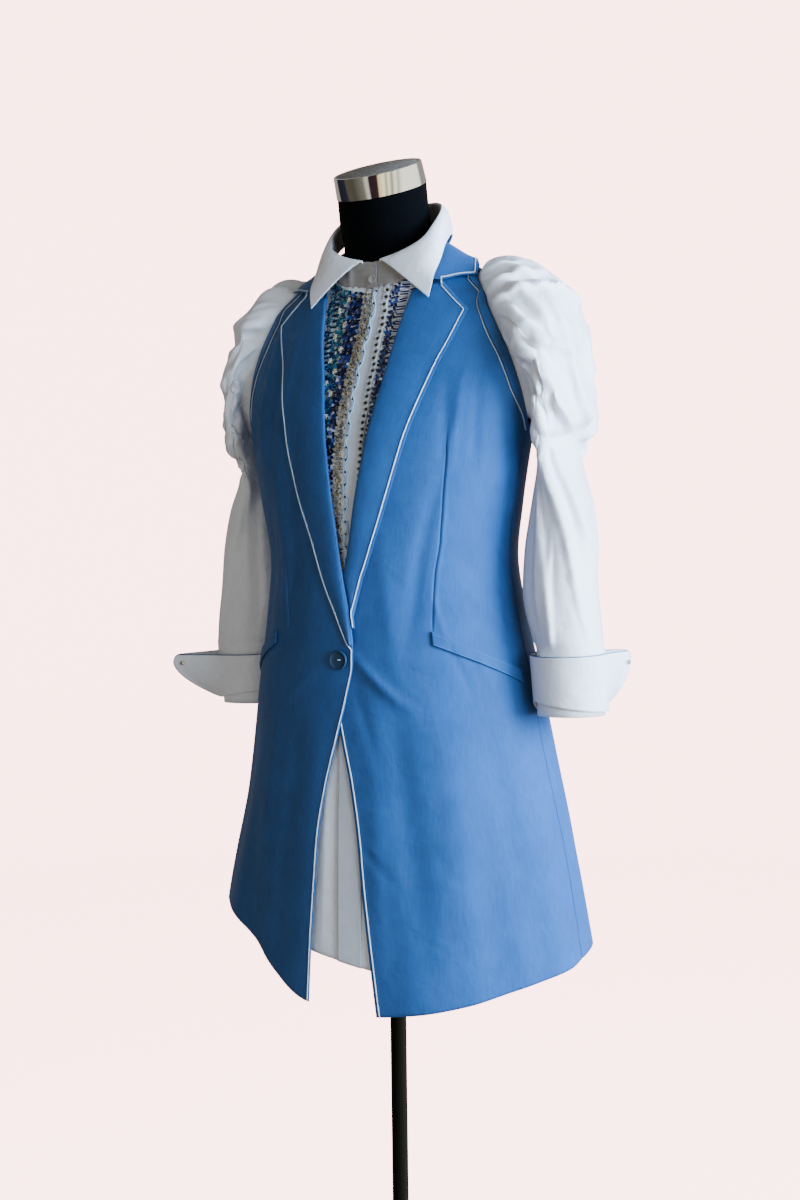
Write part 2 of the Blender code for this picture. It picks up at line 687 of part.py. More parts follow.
def make_sleeves(material):
    for side, name in ((LEFT, "sleeve_left"), (RIGHT, "sleeve_right")):
        rings = sleeve_rings(side)
        if side == RIGHT:
            rings = rings[:, ::-1]
        cloth(name, rings, SHIRTING_WALL, material, closed=True)


def cuff_middle(side):
    outer_x, inner_x = SLEEVE[-1, 0], SLEEVE[-1, 2]
    return np.array([side * (outer_x + inner_x) / 2, ARM_SWING[side], 0])


def cuff_outline(wing, radius, columns=29):
    """Level outline of a cuff: round the arm, its two ends running out side by side as a wing."""
    far = radius + wing
    touch = np.arccos(radius / far) if wing > 1e-4 else 0.0
    straight = np.sqrt(max(far ** 2 - radius ** 2, 0))
    length = straight * 2 + radius * (2 * np.pi - 2 * touch)
    start = WING_GAP * radius
    along = np.linspace(start, length - start, columns)
    angle = touch + (along - straight) / radius
    round_arm = radius * np.stack([np.cos(angle), np.sin(angle)], -1)
    tangent = radius * np.array([np.cos(touch), np.sin(touch)])
    tip = np.array([far, 0])
    share = np.clip(along / max(straight, 1e-6), 0, 1)[:, None]
    share_back = np.clip((length - along) / max(straight, 1e-6), 0, 1)[:, None]
    first = tip * (1 - share) + tangent * share
    last = tip * (1 - share_back) + tangent * np.array([1, -1]) * share_back
    points = np.where((along < straight)[:, None], first, round_arm)
    points = np.where((along > length - straight)[:, None], last, points)
    apart = np.where(along < length / 2, 1, -1) * 0.0022 * (1 - np.minimum(share, share_back)[:, 0])
    points[:, 1] += np.where(np.minimum(along, length - along) < straight, apart, 0)
    return points


def make_cuffs(material, metal):
    """Turned-back cuffs with a wing to the outside, and the stud that holds each wing."""
    for side, word in ((LEFT, "left"), (RIGHT, "right")):
        turn_x, turn_y = np.cos(WING_TURN[side]), np.sin(WING_TURN[side])
        grid = []
        for share in np.linspace(0, 1, 5):
            outline = cuff_outline(CUFF_WING[side] * share ** 0.9 + 0.0015,
                                   CUFF_RADIUS + CUFF_FLARE * share)
            x = outline[:, 0] * turn_x - outline[:, 1] * turn_y
            y = outline[:, 0] * turn_y + outline[:, 1] * turn_x
            z = np.full_like(x, CUFF_FOOT + (CUFF_TOP[side] - CUFF_FOOT) * share)
            grid.append(np.stack([side * x, y, z], -1) + cuff_middle(side))
        grid = np.array(grid)
        make_stud(f"stud_{word}", grid[-2:, -2:], STUD_LIFT[side], metal)
        if side == RIGHT:
            grid = grid[:, ::-1]
        cloth(f"cuff_{word}", grid, COLLAR_WALL, material)


def make_stud(name, corner, lift, metal):
    """Round stud head on the front of the wing, in the four-sided corner at its tip."""
    (low_near, low_tip), (high_near, high_tip) = corner
    facing = np.cross(high_tip - low_near, high_near - low_tip)
    facing *= -np.sign(facing[1]) / np.linalg.norm(facing)
    low = low_near + (low_tip - low_near) * STUD_PLACE[0]
    high = high_near + (high_tip - high_near) * STUD_PLACE[0]
    spot = low + (high - low) * STUD_PLACE[1] + facing * lift
    profile = [(0.0, 0.0030), (STUD_RADIUS * 0.6, 0.0027), (STUD_RADIUS, 0.0014),
               (STUD_RADIUS * 0.8, 0.0), (0.0, 0.0)]
    stud = turned(name, profile, metal, steps=14)
    turn = Vector(facing.tolist()).to_track_quat("Z", "Y").to_matrix().to_4x4()
    stud.matrix_world = Matrix.Translation(spot.tolist()) @ turn


def make_form(material):
    """Torso and leaning neck of the dress form, one smooth closed body."""
    turn = np.linspace(0, 2 * np.pi, 25)[:-1]
    heights = np.concatenate([FORM[:3, 0], np.linspace(FORM[2, 0], FORM[8, 0], 8)[1:],
                              FORM[9:, 0]])
    rings = [oval(FORM, turn, np.full_like(turn, height)) for height in heights]
    for count, ring in enumerate(rings[-NECK_TAPER:], 1):
        lean = np.tan(NECK_LEAN) * count / (NECK_TAPER + 1)
        ring[:, 2] += (ring[:, 1] - ring[:, 1].mean()) * lean * (count / NECK_TAPER) ** 2
    radius, middle, top = NECK_TOP
    ahead = -radius * np.cos(turn)
    rings.append(np.stack([radius * np.sin(turn), middle + ahead * np.cos(NECK_LEAN),
                           top + ahead * np.sin(NECK_LEAN)], -1))
    rings = np.array(rings)
    levels, columns = rings.shape[:2]
    row, col = np.meshgrid(np.arange(levels - 1), np.arange(columns), indexing="ij")
    beside = (col + 1) % columns
    corners = [row * columns + col, row * columns + beside,
               (row + 1) * columns + beside, (row + 1) * columns + col]
    faces = np.stack(corners, -1).reshape(-1, 4).tolist()
    faces.append(list(range(columns))[::-1])
    faces.append([(levels - 1) * columns + i for i in range(columns)])
    mesh = bpy.data.meshes.new("form_torso")
    mesh.from_pydata(rings.reshape(-1, 3).tolist(), [], faces)
    place("form_torso", mesh, material)


def make_stand(black, steel):
    """Base plate with its hub, the pole, and the turned cap on the neck."""
    base = [(0.0, HUB_TOP), (HUB_RADIUS - 0.003, HUB_TOP), (HUB_RADIUS, HUB_TOP - 0.003),
            (HUB_RADIUS, BASE_RISE + 0.004), (HUB_RADIUS + 0.006, BASE_RISE),
            (BASE_RADIUS - 0.012, BASE_RIM), (BASE_RADIUS, BASE_RIM - 0.003), (BASE_RADIUS, 0.0),
            (0.0, 0.0)]
    turned("base_plate", base, black, steps=40)
    foot, top = HUB_TOP + SEAM_GAP, FORM[0, 0] - SEAM_GAP
    bpy.ops.mesh.primitive_cylinder_add(vertices=24, radius=POLE_RADIUS, depth=top - foot,
                                        location=(0, 0, (foot + top) / 2))
    pole = bpy.context.object
    pole.name = pole.data.name = "pole"
    pole.data.materials.append(black)
    for holder in list(pole.users_collection):
        holder.objects.unlink(pole)
    bpy.data.collections["blazer_dress"].objects.link(pole)
    rim = CAP_RADIUS - CAP_TAPER
    cap = [(0.0, CAP_HEIGHT - 0.0012), (rim - 0.007, CAP_HEIGHT - 0.0012),
           (rim - 0.006, CAP_HEIGHT), (rim - CAP_ROUND, CAP_HEIGHT), (rim, CAP_HEIGHT - CAP_ROUND),
           (CAP_RADIUS, 0.002), (CAP_RADIUS - 0.002, 0.0), (0.0, 0.0)]
    top_piece = turned("neck_cap", cap, steel, steps=32)
    _, middle, height = NECK_TOP
    up = np.array([0, -np.sin(NECK_LEAN), np.cos(NECK_LEAN)])
    spot = np.array([0, middle, height]) + up * SEAM_GAP
    top_piece.matrix_world = (Matrix.Translation(spot.tolist())
                              @ Matrix.Rotation(NECK_LEAN, 4, "X"))


def main():
    clear_scene()
    collection = bpy.data.collections.new("blazer_dress")
    bpy.context.scene.collection.children.link(collection)
    suiting = finish("blue_suiting", (0.113, 0.322, 0.658), 0.62)
    shirting = finish("white_satin_cotton", (0.74, 0.77, 0.83), 0.45)
    dyed = finish("dyed_resin", (0.07, 0.17, 0.30), 0.35)
    black = finish("black_paint", (0.004, 0.004, 0.004), 0.35)
    velvet = finish("black_form_cover", (0.003, 0.004, 0.006), 0.8)
    steel = finish("chrome", (0.72, 0.71, 0.69), 0.12, 1.0)
    make_stand(black, steel)
    make_form(velvet)
    make_fronts(suiting)
    make_backs(suiting)
    make_lapels(suiting)
    make_blazer_collar(suiting)
    make_armhole_bands(suiting)
    make_pockets(suiting)
    make_button(dyed)
    make_shirt_front(shirting, shirting)
    make_shirt_collar(shirting)
    make_sleeves(shirting)
    make_cuffs(shirting, steel)
    for thing in collection.objects:
        if thing.name not in ("base_plate", "pole"):
            thing.matrix_world = Matrix.Translation((0, BODY_BACK, 0)) @ thing.matrix_world


main()
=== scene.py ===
"""Blazer dress on a limbless dress form: the looks of every piece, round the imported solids.

A halter-cut blazer dress with corded notch lapels, one button and welt pockets, with a built-in
shirt front worked in sequins and beads, a shirt collar and pleated puff sleeves, on a black form.

Metres, +Z up; tables times MM are in millimetres. The dress faces -Y and the wearer's left is +X.
The origin is the middle of the base plate's underside. A side of +1 is the wearer's left.
An angle on the body is 0 at the centre front, +90 at the wearer's left and 180 at the centre back.
"""

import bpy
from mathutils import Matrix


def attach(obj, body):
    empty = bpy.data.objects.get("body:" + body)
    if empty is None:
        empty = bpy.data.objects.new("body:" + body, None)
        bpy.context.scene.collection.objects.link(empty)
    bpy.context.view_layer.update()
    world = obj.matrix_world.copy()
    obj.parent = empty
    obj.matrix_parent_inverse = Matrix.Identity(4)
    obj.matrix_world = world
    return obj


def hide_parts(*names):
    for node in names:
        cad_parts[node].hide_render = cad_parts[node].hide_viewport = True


bl_info = {
    "name": "Blazer Dress on a Form",
    "version": (1, 0, 0),
    "blender": (4, 5, 0),
    "location": "View3D > Sidebar > Blazer Dress",
    "description": "Builds a blazer dress with a beaded shirt front on a dress form",
    "category": "Object",
}

import bpy
import numpy as np
from mathutils import Matrix

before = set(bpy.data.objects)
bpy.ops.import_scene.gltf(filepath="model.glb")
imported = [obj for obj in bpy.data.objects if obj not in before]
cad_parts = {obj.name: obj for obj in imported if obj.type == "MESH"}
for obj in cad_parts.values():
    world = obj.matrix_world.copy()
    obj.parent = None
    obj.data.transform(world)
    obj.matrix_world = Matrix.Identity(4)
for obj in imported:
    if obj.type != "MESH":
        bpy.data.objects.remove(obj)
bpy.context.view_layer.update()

LEFT, RIGHT = 1, -1
WORDS = {LEFT: "left", RIGHT: "right"}
MM = 0.001
UP = np.array([0, 0, 1.0])
LEVEL = np.array([1, 1, 0])

# Walls, and gaps between pieces that are sewn, laid on each other and bound
SUITING_WALL, SHIRTING_WALL, COLLAR_WALL = 0.0016, 0.0012, 0.0014
SEAM_GAP, LAID_GAP, BAND_GAP = 0.0003, 0.0007, 0.0015

# Stand
NECK_LEAN = np.radians(23)
BODY_BACK = 0.021        # the dress and its form hang a little behind the pole's axis

# Dress landmarks
HEM_ROW, HEM_FADE_TOP = 0.6, 0.95      # the hem's own shape fades out between them
UNDERARM, SHOULDER_EDGE, NECK_EDGE = 1.228, 1.4, 1.415
SIDE_SEAM, SHOULDER_SEAM, CENTRE_BACK = np.radians((86, 90, 180))
OVERLAP_LIFT = 0.0024      # of the right front over the left one
SHIRT_DEPTH, SHIRT_SEWN_DEPTH = -0.0045, -0.0028
BAND_WIDTH, WELT_DEPTH = 0.014, 0.014
BUTTON_HEIGHT = 0.983

# Body of the dress, its outer face: height, half width, front y, back y, y of the widest point
DRESS = MM * np.array([
    (600, 222, -150, 190, 15), (700, 208, -148, 176, 12), (780, 197, -146, 156, 6),
    (880, 178, -141, 127, -2), (960, 165, -137, 108, -8), (1030, 152, -134, 90, -12),
    (1090, 145, -133, 78, -15), (1150, 154, -134, 78, -20), (1205, 165, -130, 82, -24),
    (1245, 172, -120, 86, -22), (1290, 174, -103, 88, -16), (1330, 173, -86, 82, -8),
    (1360, 165, -73, 70, -3), (1385, 132, -63, 56, 0), (1400, 103, -58, 49, 0),
    (1415, 80, -55, 44, 0), (1430, 64, -54, 40, -4),
])

# Dress form, the same columns
FORM = MM * np.array([
    (780, 120, -86, 86, 0), (786, 146, -106, 104, 0), (850, 158, -114, 112, 0),
    (930, 153, -114, 98, -4), (1020, 134, -110, 78, -10), (1090, 124, -106, 64, -14),
    (1150, 132, -108, 64, -18), (1205, 147, -110, 68, -20), (1245, 154, -106, 72, -18),
    (1290, 155, -91, 74, -12), (1330, 153, -74, 68, -6), (1360, 146, -60, 56, -2),
    (1385, 124.4, -51, 39.8, 0), (1400, 96.2, -49, 33.6, 0), (1415, 75, -50, 30, -3),
    (1432, 55, -56, 21, -12), (1458, 51.5, -70, 14, -26),
])
NECK_TOP = (0.0497, -0.0333, 1.4918)    # radius, middle y, middle height
NECK_TAPER = 5                          # form rows over which the rings tip forward
NECK_WIDER = 0.08      # share by which the neck fills the shirt's collar at its foot

# Hem: angle in degrees, height
HEM = np.array([
    (-180, 700), (-90, 712), (-65, 703), (-38, 674), (-24, 645), (-10, 621.5), (11, 613.5),
    (21, 617), (37, 626.6), (61, 645), (88, 662), (120, 678), (180, 700),
]) * (1, MM)

# Soft folds of the skirt: angle and half width in degrees, depth outwards, height where it starts
SKIRT_FOLDS = np.array([
    (-66, 32, 14, 840), (-38, 12, -3, 860), (27, 12, 3, 820), (50, 14, -4, 880), (74, 13, 3, 820),
    (112, 14, -4, 900), (140, 15, 6, 900), (166, 12, -4, 860), (-166, 12, -4, 860),
    (-140, 15, 6, 900), (-112, 14, -4, 900),
]) * (1, 1, MM, MM)
FOLD_GROWTH = 0.16

# Front edges: height, distance from the centre to its own side for the right and the left front
FRONT_EDGE = MM * np.array([
    (600, 37, 44.5), (675, 32.5, 35.2), (736, 27.7, 28), (797, 22.6, 22), (850, 13.5, 13.5),
    (900, 1.3, 2.3), (950, -11, -8), (983, -16.6, -12.5), (1015, -14, -9), (1075, -3, 7.5),
    (1140, 7, 19.1), (1215, 19.7, 32.3), (1281, 33.9, 42.5), (1330, 47.5, 48), (1372, 55, 55),
    (1390, 60, 60), (1415, 70, 70),
])

# Armhole: height, angle of its front and of its back edge in degrees
ARMHOLE = np.array([
    (UNDERARM, 86, 86), (1.24, 82.5, 98), (1.263, 76, 108), (1.305, 64.5, 120), (1.348, 53.6, 129),
    (1.362, 52.5, 130), (1.378, 56.5, 126), (1.392, 67, 114), (SHOULDER_EDGE, 90, 90),
])

# Lapel: height, distance of its outer edge from the centre
LAPEL_EDGE = MM * np.array([
    (995, -13), (1025, 4.5), (1057, 23), (1108, 41), (1160, 58), (1222, 75.5), (1258, 86.5),
    (1290, 96), (1316.5, 105.5), (1350, 116.5),
])
LAPEL_POINT = 1.35
GORGE_HEIGHT = 1.374
NOTCH_SHARE, NOTCH_RISE = 0.46, 0.0185

# Blazer collar from the centre back to its front end: fold line x, y, z and outer edge x, y, z
BLAZER_COLLAR = MM * np.array([
    (0, 36, 1446, 0, 60, 1401), (38, 24, 1444, 52, 51, 1403), (56, -2, 1438, 86, 31, 1409),
    (65, -24, 1425, 98, 4, 1414), (66, -47, 1407, 109, -18, 1404),
    (62, -65.5, 1385.5, 116.5, -34.5, 1391),
])

# Shirt collar, the same columns
SHIRT_COLLAR = MM * np.array([
    (0, 25, 1484, 0, 50, 1441), (34, 15, 1482, 38, 39, 1440), (57, -9, 1471, 62, 9, 1445),
    (63, -30, 1455.5, 72.5, -26, 1431), (58, -50, 1433, 77.5, -53, 1404),
    (33, -61, 1416.5, 76.5, -67, 1384.5), (10.5, -64.2, 1410, 73, -71.5, 1364.5),
])
STAND_HEIGHT = 0.026
STAND_SHORT, STAND_ROUND = 0.0015, 0.0035     # short of the fold; its ends' rounded tops
STAND_RIPPLE, RIPPLE_PACE = 0.0007, 71
FALL_START, FOLD_INSIDE, FOLD_UNDER = 0.0008, 0.0006, 0.0008     # of the collars at their fold
COLLAR_FOOT_LIFT, COLLAR_FOOT_DROP = 0.0004, 0.002
COLLAR_SHIFT = 0.003     # the shirt collar sits a little to the wearer's left
BODY_AXIS, NECK_AXIS = np.array([(0, 0, 1.1), (0, -0.018, 1.36)])     # a place inside each

# Sleeve rings: outer x, z, inner x, z, half depth, pleat height
SLEEVE = MM * np.array([
    (116, 1408, 181, 1232, 56, 2), (136, 1411, 185, 1227, 61, 4), (158, 1407, 187, 1221, 65, 5.5),
    (179, 1393, 187, 1214, 67, 5.5), (203, 1371, 186, 1207, 67, 5), (215, 1337, 184, 1200, 66, 5),
    (216, 1295, 182, 1193, 63, 5), (220, 1256, 180, 1186, 58, 5), (217, 1228, 178, 1178, 53, 4.5),
    (210, 1208, 176, 1166, 49, 3.5), (214, 1184, 172, 1150, 47, 2.5),
    (226, 1150, 166, 1126, 45, 1.8), (234, 1105, 160, 1093, 43, 1.4),
    (238, 1050, 159, 1046, 42, 1.2), (243, 1005, 169, 1005, 38.5, 0.8),
    (246.1, 985, 174.9, 985, 35.6, 0), (246.1, 922, 174.9, 922, 35.6, 0),
])
ARM_SWING = {LEFT: -0.016, RIGHT: 0.014}    # how far the cuff hangs in front of or behind the shoulder

# Pleats gathered into the armhole: degrees from the top of the sleeve, to the front
PLEATS = np.array([-112, -90, -69, -48, -28, -8, 12, 31, 50, 70, 91, 113])
UNDERARM_COLUMNS = 6
COLUMNS_A_PLEAT, ROWS_A_RING = 8, 8     # fine steps between coarse columns and between rings
CUFF_ROOM = {LEFT: 0.0, RIGHT: 0.008}     # the sleeve fills the opening between a cuff's two ends
SLEEVE_SEAM_GAP = 0.0014
PUFF_RINGS = 6          # rings over which the armhole's own shape fades
PUFF_TUCK = {LEFT: 0.0, RIGHT: 0.013}

# Cuffs
CUFF_FOOT, CUFF_TOP = 0.927, {LEFT: 0.987, RIGHT: 0.9815}
CUFF_RADIUS, CUFF_WIDER, CUFF_FLARE = 0.038, {LEFT: 0.0016, RIGHT: 0.0}, 0.0035
CUFF_WING = {LEFT: 0.04, RIGHT: 0.054}     # how far its ends run out
FRONT_END_SHORT = {LEFT: 0.011, RIGHT: 0.0006}
CUFF_SLANT, CUFF_DIP, TIP_ROUND = 0.012, 0.003, 0.0085
WING_TURN = {LEFT: np.radians(60), RIGHT: np.radians(-30)}    # from sideways to the back
WING_GAP, WING_APART = np.radians(1.5), 0.0022     # between its ends, at the arm and at the tips
LINING_ROWS, LINING_COLUMNS = slice(1, 12), slice(48, 150)     # where it lies in the cuff's grid
LINING_WALL, LINING_DROP = 0.0006, 0.003
STUD_COLUMN = {LEFT: 6, RIGHT: 8}       # grid columns from the front end of a cuff to its stud

# Seams, darts and pockets
BODY_RADIUS = 0.165      # mean radius at which creases of the body are laid out flat
VISIBLE_SEAM = 0.00006     # between two panels; each is tucked in beside it
SEAM_TUCK, SEAM_TUCK_WIDTH = 0.0009, 0.0016
DART_DEPTH, DART_WIDTH = 0.0009, 0.001
DART_TOP = {LEFT: 1.236, RIGHT: 1.11}
BACK_DART_ANGLE, BACK_DART_FOOT, BACK_DART_TOP = 140.0, 0.96, 1.24
POCKET_TOP, POCKET_DROP = 1.0125, 0.0428
POCKET_START, POCKET_RUN = 37.5, 41.5
PANEL_STEPS, PANEL_HALF = 190, 42     # rows of a panel, columns on each side of its dart

# Lapels and collars
ROLL_RADIUS = 0.0019
LAPEL_LIFT, LAPEL_SWELL = 0.0042, 0.0012
LAPEL_FOOT = {LEFT: 1.016, RIGHT: 0.998}
LAPEL_NARROWER = {LEFT: 0.0, RIGHT: 0.007}      # halfway up from its foot
LEFT_LAPEL_LOW = (0.0148, 1.019, 0.26)     # its edge: distance at a height, and slope
LAPEL_HALFWAY = (1.06, 1.1, 1.2)     # heights up to, from and to which a lapel narrows
LAPEL_LEAST, LAPELS_APART, LAPEL_FALL = 0.0018, 0.003, 0.002
NOTCH_START = 0.86       # share of the lapel where its top edge begins to rise to the notch
NOTCH_DIP = 0.0035
COLLAR_SWELL, SHIRT_COLLAR_SWELL, SHIRT_COLLAR_RISE = 0.003, 0.004, 0.0019

# Shirt front
SHIRT_HEM, SHIRT_TOP = 0.667, 1.382
PLACKET_HALF, PLACKET_MIDDLE, PLACKET_SHORT = 0.014, 0.012, 0.0025
SHIRT_HEM_SLOPE, SHIRT_HEM_FADE = 0.19, 0.8
SHIRT_TOP_RISE = ((0.004, 0.032, 0.062), (0.0, 0.0065, 0.022))     # distances from the centre, rises
SHIRT_TOP_FOOT = 1.3      # height from which the top's own shape fades in
NECK_RISE, NECK_HEIGHTS, NECK_SIDES = 0.0045, (1.34, 1.385), (0.03, 0.052)
UNDER_FRONT = 0.018         # how far a shirt front runs in behind the front's edge
STAND_LAP, STAND_OVER, STAND_FOOT = 0.0065, 0.0016, 0.0045
GATHER_DEPTH, GATHER_PITCH = 0.0006, 0.0075     # small gathers under the collar

# Line of each front's dart: height, angle on the left and on the right front
DARTS = np.array([
    (600, 37.5, 27), (1012.5, 38.2, 28.1), (1035, 39.1, 29.5), (1073, 41.5, 32.3), (1107, 44, 35),
    (1180, 43.3, 36.5), (1234, 41.4, 36), (1415, 60, 60),
]) * (MM, 1, 1)

# Creases of the dress's body laid flat: start x, z, end x, z, half width, height
BODY_CREASES = MM * np.array([
    (10, 994, 72, 930, 5, 2.6), (12, 978, 46, 860, 6, -1), (20, 980, 86, 926, 4.5, 1.8),
    (22, 790, 52, 752, 4, -1.2), (58, 960, 83, 600, 14, -3), (36, 930, 40, 620, 8.5, 1),
    (112, 950, 122, 610, 20, 2.4), (160, 930, 190, 600, 16, -2.6), (206, 910, 228, 600, 15, 2),
    (200, 902, 233, 872, 3.5, 1.2), (124, 1190, 78, 985, 10, -2.2), (126, 1290, 132, 1170, 6, 1.3),
    (106, 1290, 122, 1180, 6.5, -1.1), (144, 1290, 164, 1170, 8, -1.4), (112, 1055, 126, 998, 4, 1),
    (126, 1000, 150, 944, 5, -1), (160, 990, 186, 934, 6, 1), (150, 1090, 236, 1036, 8, -1.4),
    (146, 1062, 230, 1008, 6, 1.2), (52, 1120, 66, 940, 11, 1.2), (-122, 1350, -136, 1200, 9, 2.4),
    (-100, 1345, -112, 1180, 8, -1.8), (-80, 1340, -90, 1200, 7.5, 1.2),
    (-58, 1250, -82, 1020, 10, -1.5), (-104, 1200, -94, 1010, 11, 1.5),
    (-130, 1160, -150, 980, 11, -1.6), (-50, 940, -72, 620, 13, -2.2),
    (-88, 945, -112, 640, 12, 1.8), (-22, 930, -38, 630, 11, 1.2), (-18, 980, -90, 930, 6, 1.1),
    (-150, 940, -180, 640, 15, -2.4), (-200, 930, -232, 620, 14, 1.8),
    (300, 1290, 330, 1120, 11, -2), (350, 1240, 400, 1060, 10, 1.5),
    (280, 1040, 390, 1010, 7, -1.4), (290, 940, 310, 620, 16, -2.8), (380, 980, 420, 640, 15, 2.2),
    (460, 960, 480, 620, 14, -1.8), (-310, 1280, -330, 1100, 11, -1.8),
    (-360, 1230, -410, 1080, 10, 1.4), (-290, 1050, -400, 1015, 8, -1.3),
    (-300, 950, -330, 640, 16, -2.6), (-400, 970, -430, 610, 15, 2.1),
    (-470, 940, -490, 640, 13, -1.6),
])

# Soft creases of the shirt in the opening: start x, z, end x, z, half width, height
SHIRT_CREASES = MM * np.array([
    (-16, 900, -24, 650, 4.5, 1.2), (-6, 870, -10, 650, 4, -1.2), (34, 820, 40, 650, 5, 1),
    (-34, 800, -40, 650, 4.5, -1),
])

# Beadwork and its ribbon
BEADS_LOW, BEADS_TOP = 1.05, 1.377
RIBBON_WAVE, RIBBON_SWAY = 0.026, 0.0024
BANDS_SPREAD = (1.25, 1.37)      # heights between which the bands spread to the collar
PLACKET_FACE = SHIRTING_WALL + LAID_GAP     # the placket's face above the shirt's

# Folds of a sleeve: height and half width in millimetres, share that the crest leans down, then places
# along the fold as degrees from the sleeve's top to the front and rings down from the armhole
SLEEVE_FOLDS = {
    LEFT: (
        (2.5, 4, 0.2, ((34, 0.4), (30, 2), (12, 3.4))),
        (4, 5.5, 0.3, ((53, 0.6), (46, 2.3), (20, 3.9), (-12, 4.6))),
        (-3, 4, 0, ((61, 0.6), (54, 2.3), (28, 4.2), (-5, 5))),
        (5.5, 6, 0.5, ((68, 0.5), (62, 2.2), (37, 4.2), (0, 5), (-32, 5.4))),
        (4, 5.5, 0.3, ((79, 0.5), (79, 3.2), (62, 4.8), (48, 5.8))),
        (-4.5, 5.5, 0, ((72, 1.4), (66, 4.1), (60, 5.2), (46, 6), (30, 6.2))),
        (7, 8, 0.4, ((98, 0.6), (84, 3.8), (68, 5.4), (45, 6.2), (17, 6.7), (-30, 6.6))),
        (-5, 5.5, 0, ((97, 1.6), (84, 4.4), (66, 6), (44, 7), (20, 7.6))),
        (10, 8.5, 0.4, ((105, 0.5), (100, 2.6), (86, 5), (66, 6.8), (46, 8.2), (22, 9), (4, 9.4))),
        (-4.5, 3.5, 0, ((112, 0.4), (112, 2), (110, 3.6))),
        (5, 5, 0.3, ((116, 0.6), (112, 2.8), (95, 5.8), (76, 7.4), (62, 8.3))),
        (-6.5, 4.5, 0, ((128, 1.2), (110, 4.9), (84, 7.1), (60, 8.2))),
        (4.5, 5.5, 0.2, ((112, 5.2), (92, 7.6), (70, 9.4))),
        (4, 5.5, 0, ((130, 4.6), (122, 6.8), (112, 8.8))),
        (8, 12, 0.3, ((26, 6.4), (14, 7.6), (0, 8.4), (-14, 8.9))),
        (3.5, 8, 0, ((42, 4.8), (29, 5.9), (6, 6.4))),
        (-5, 6.5, 0, ((0, 9.7), (44, 9.6), (82, 8.8))),
        (5, 6.5, 0, ((108, 7.6), (90, 9.4), (69, 11.7), (47, 13.6), (24, 15.7))),
        (-4, 8, 0, ((114, 8.6), (102, 11), (86, 13), (64, 15.4))),
        (4, 7.5, 0, ((52, 9.5), (35, 11.9), (6, 13.4))),
        (-3, 6, 0, ((60, 9.6), (46, 11.9), (26, 14))),
        (-3.2, 7.5, 0, ((124, 8.6), (118, 12.2), (118, 15.6))),
        (3, 5, 0, ((98, 15.6), (86, 14.2), (80, 12.6))),
    ),
    RIGHT: (
        (-3.5, 5.6, 0, ((45, 0.3), (52, 1.8), (50, 3.3), (30, 4.6))),
        (6.2, 10.6, 0.5, ((66, 0.4), (68, 1.8), (62, 3.4), (36, 4.9), (0, 5.6))),
        (-5.5, 6.3, 0, ((80, 0.4), (79, 1.9), (66, 4.3), (34, 5.9), (0, 6.4))),
        (-3.1, 4.4, 0, ((86, 0.4), (90, 1.7), (84, 3.8), (72, 5))),
        (5.1, 7.5, 0.4, ((84, 0.5), (94, 2.2), (82, 5), (52, 7), (20, 7.4))),
        (-4.7, 5, 0, ((108, 0.4), (102, 2.4), (94, 4.4))),
        (-3.5, 5, 0, ((110, 0.9), (122, 2.9), (126, 5.2))),
        (-3.5, 4.4, 0, ((124, 0.9), (112, 3.4), (82, 6), (50, 7))),
        (3.9, 8.1, 0.3, ((120, 3), (104, 5.4), (72, 7.4), (40, 8.4))),
        (-2.7, 3.7, 0, ((138, 1.2), (118, 5.2), (100, 6.6))),
        (6.2, 12.5, 0.4, ((118, 6), (86, 7.9), (50, 9.2), (14, 9.4))),
        (-4.3, 7.5, 0, ((130, 7.4), (98, 9.2), (66, 10.2), (24, 10.4))),
        (3.1, 10, 0, ((112, 9.4), (90, 12.2), (62, 14), (36, 15.7))),
        (-2.3, 8.1, 0, ((130, 10), (127, 12.8), (126, 15.6))),
        (2.3, 6.9, 0, ((126, 3.2), (126, 5.6), (120, 8.8))),
    ),
}

# Cords and stitches
CORD_LOBE = 0.26       # how far a twisted cord's plies stand out, as a share of its radius
# Radius of each and length of one of its turns
POCKET_THREAD, BUTTON_THREAD = (0.0002, 0.002), (0.0004, 0.0016)
WAVY_CORD, CUFF_PIPING = (0.0007, 0.004), (0.0006, 0.003)
PLACKET_STITCHES, HEM_STITCHES = (0.668, 0.958), (-0.045, 0.055)     # from height to height, side to side
CORD_INSET = {LEFT: 0.0036, RIGHT: 0.0014}    # from a cloth's edge to its cord
CORD_LIFT = 0.75       # share of a cord's radius that its middle stands above the cloth
LEFT_CORD_TOP = 0.957  # where the right front covers the left one's edge
STITCH_PITCH, STITCH_LIFT, STITCH_SIZE = 0.003, 0.0001, (0.0022, 0.0003, 0.0003)
STITCH_INSET = 0.005   # from the shirt collar's edge to its stitches
SHELL_BUTTON_PLACE = (0.002, 8)      # to the wearer's left, column of the stand's grid

# Profiles of turned pieces from bottom to top: radius and height in millimetres
BUTTON_PROFILE = ((0, 0), (8.4, 0), (10.08, 1.2), (10.5, 2.6), (10.185, 3.8), (9.66, 4.2), (8.82, 3.9),
                  (8.19, 3.1), (6.3, 2.8), (0, 2.8))
HOLE_PROFILE = ((0, 0), (1.15, 0), (1.15, 0.12), (0, 0.16))
BUTTON_ASIDE, BUTTON_LIFT = 0.001, 0.0007
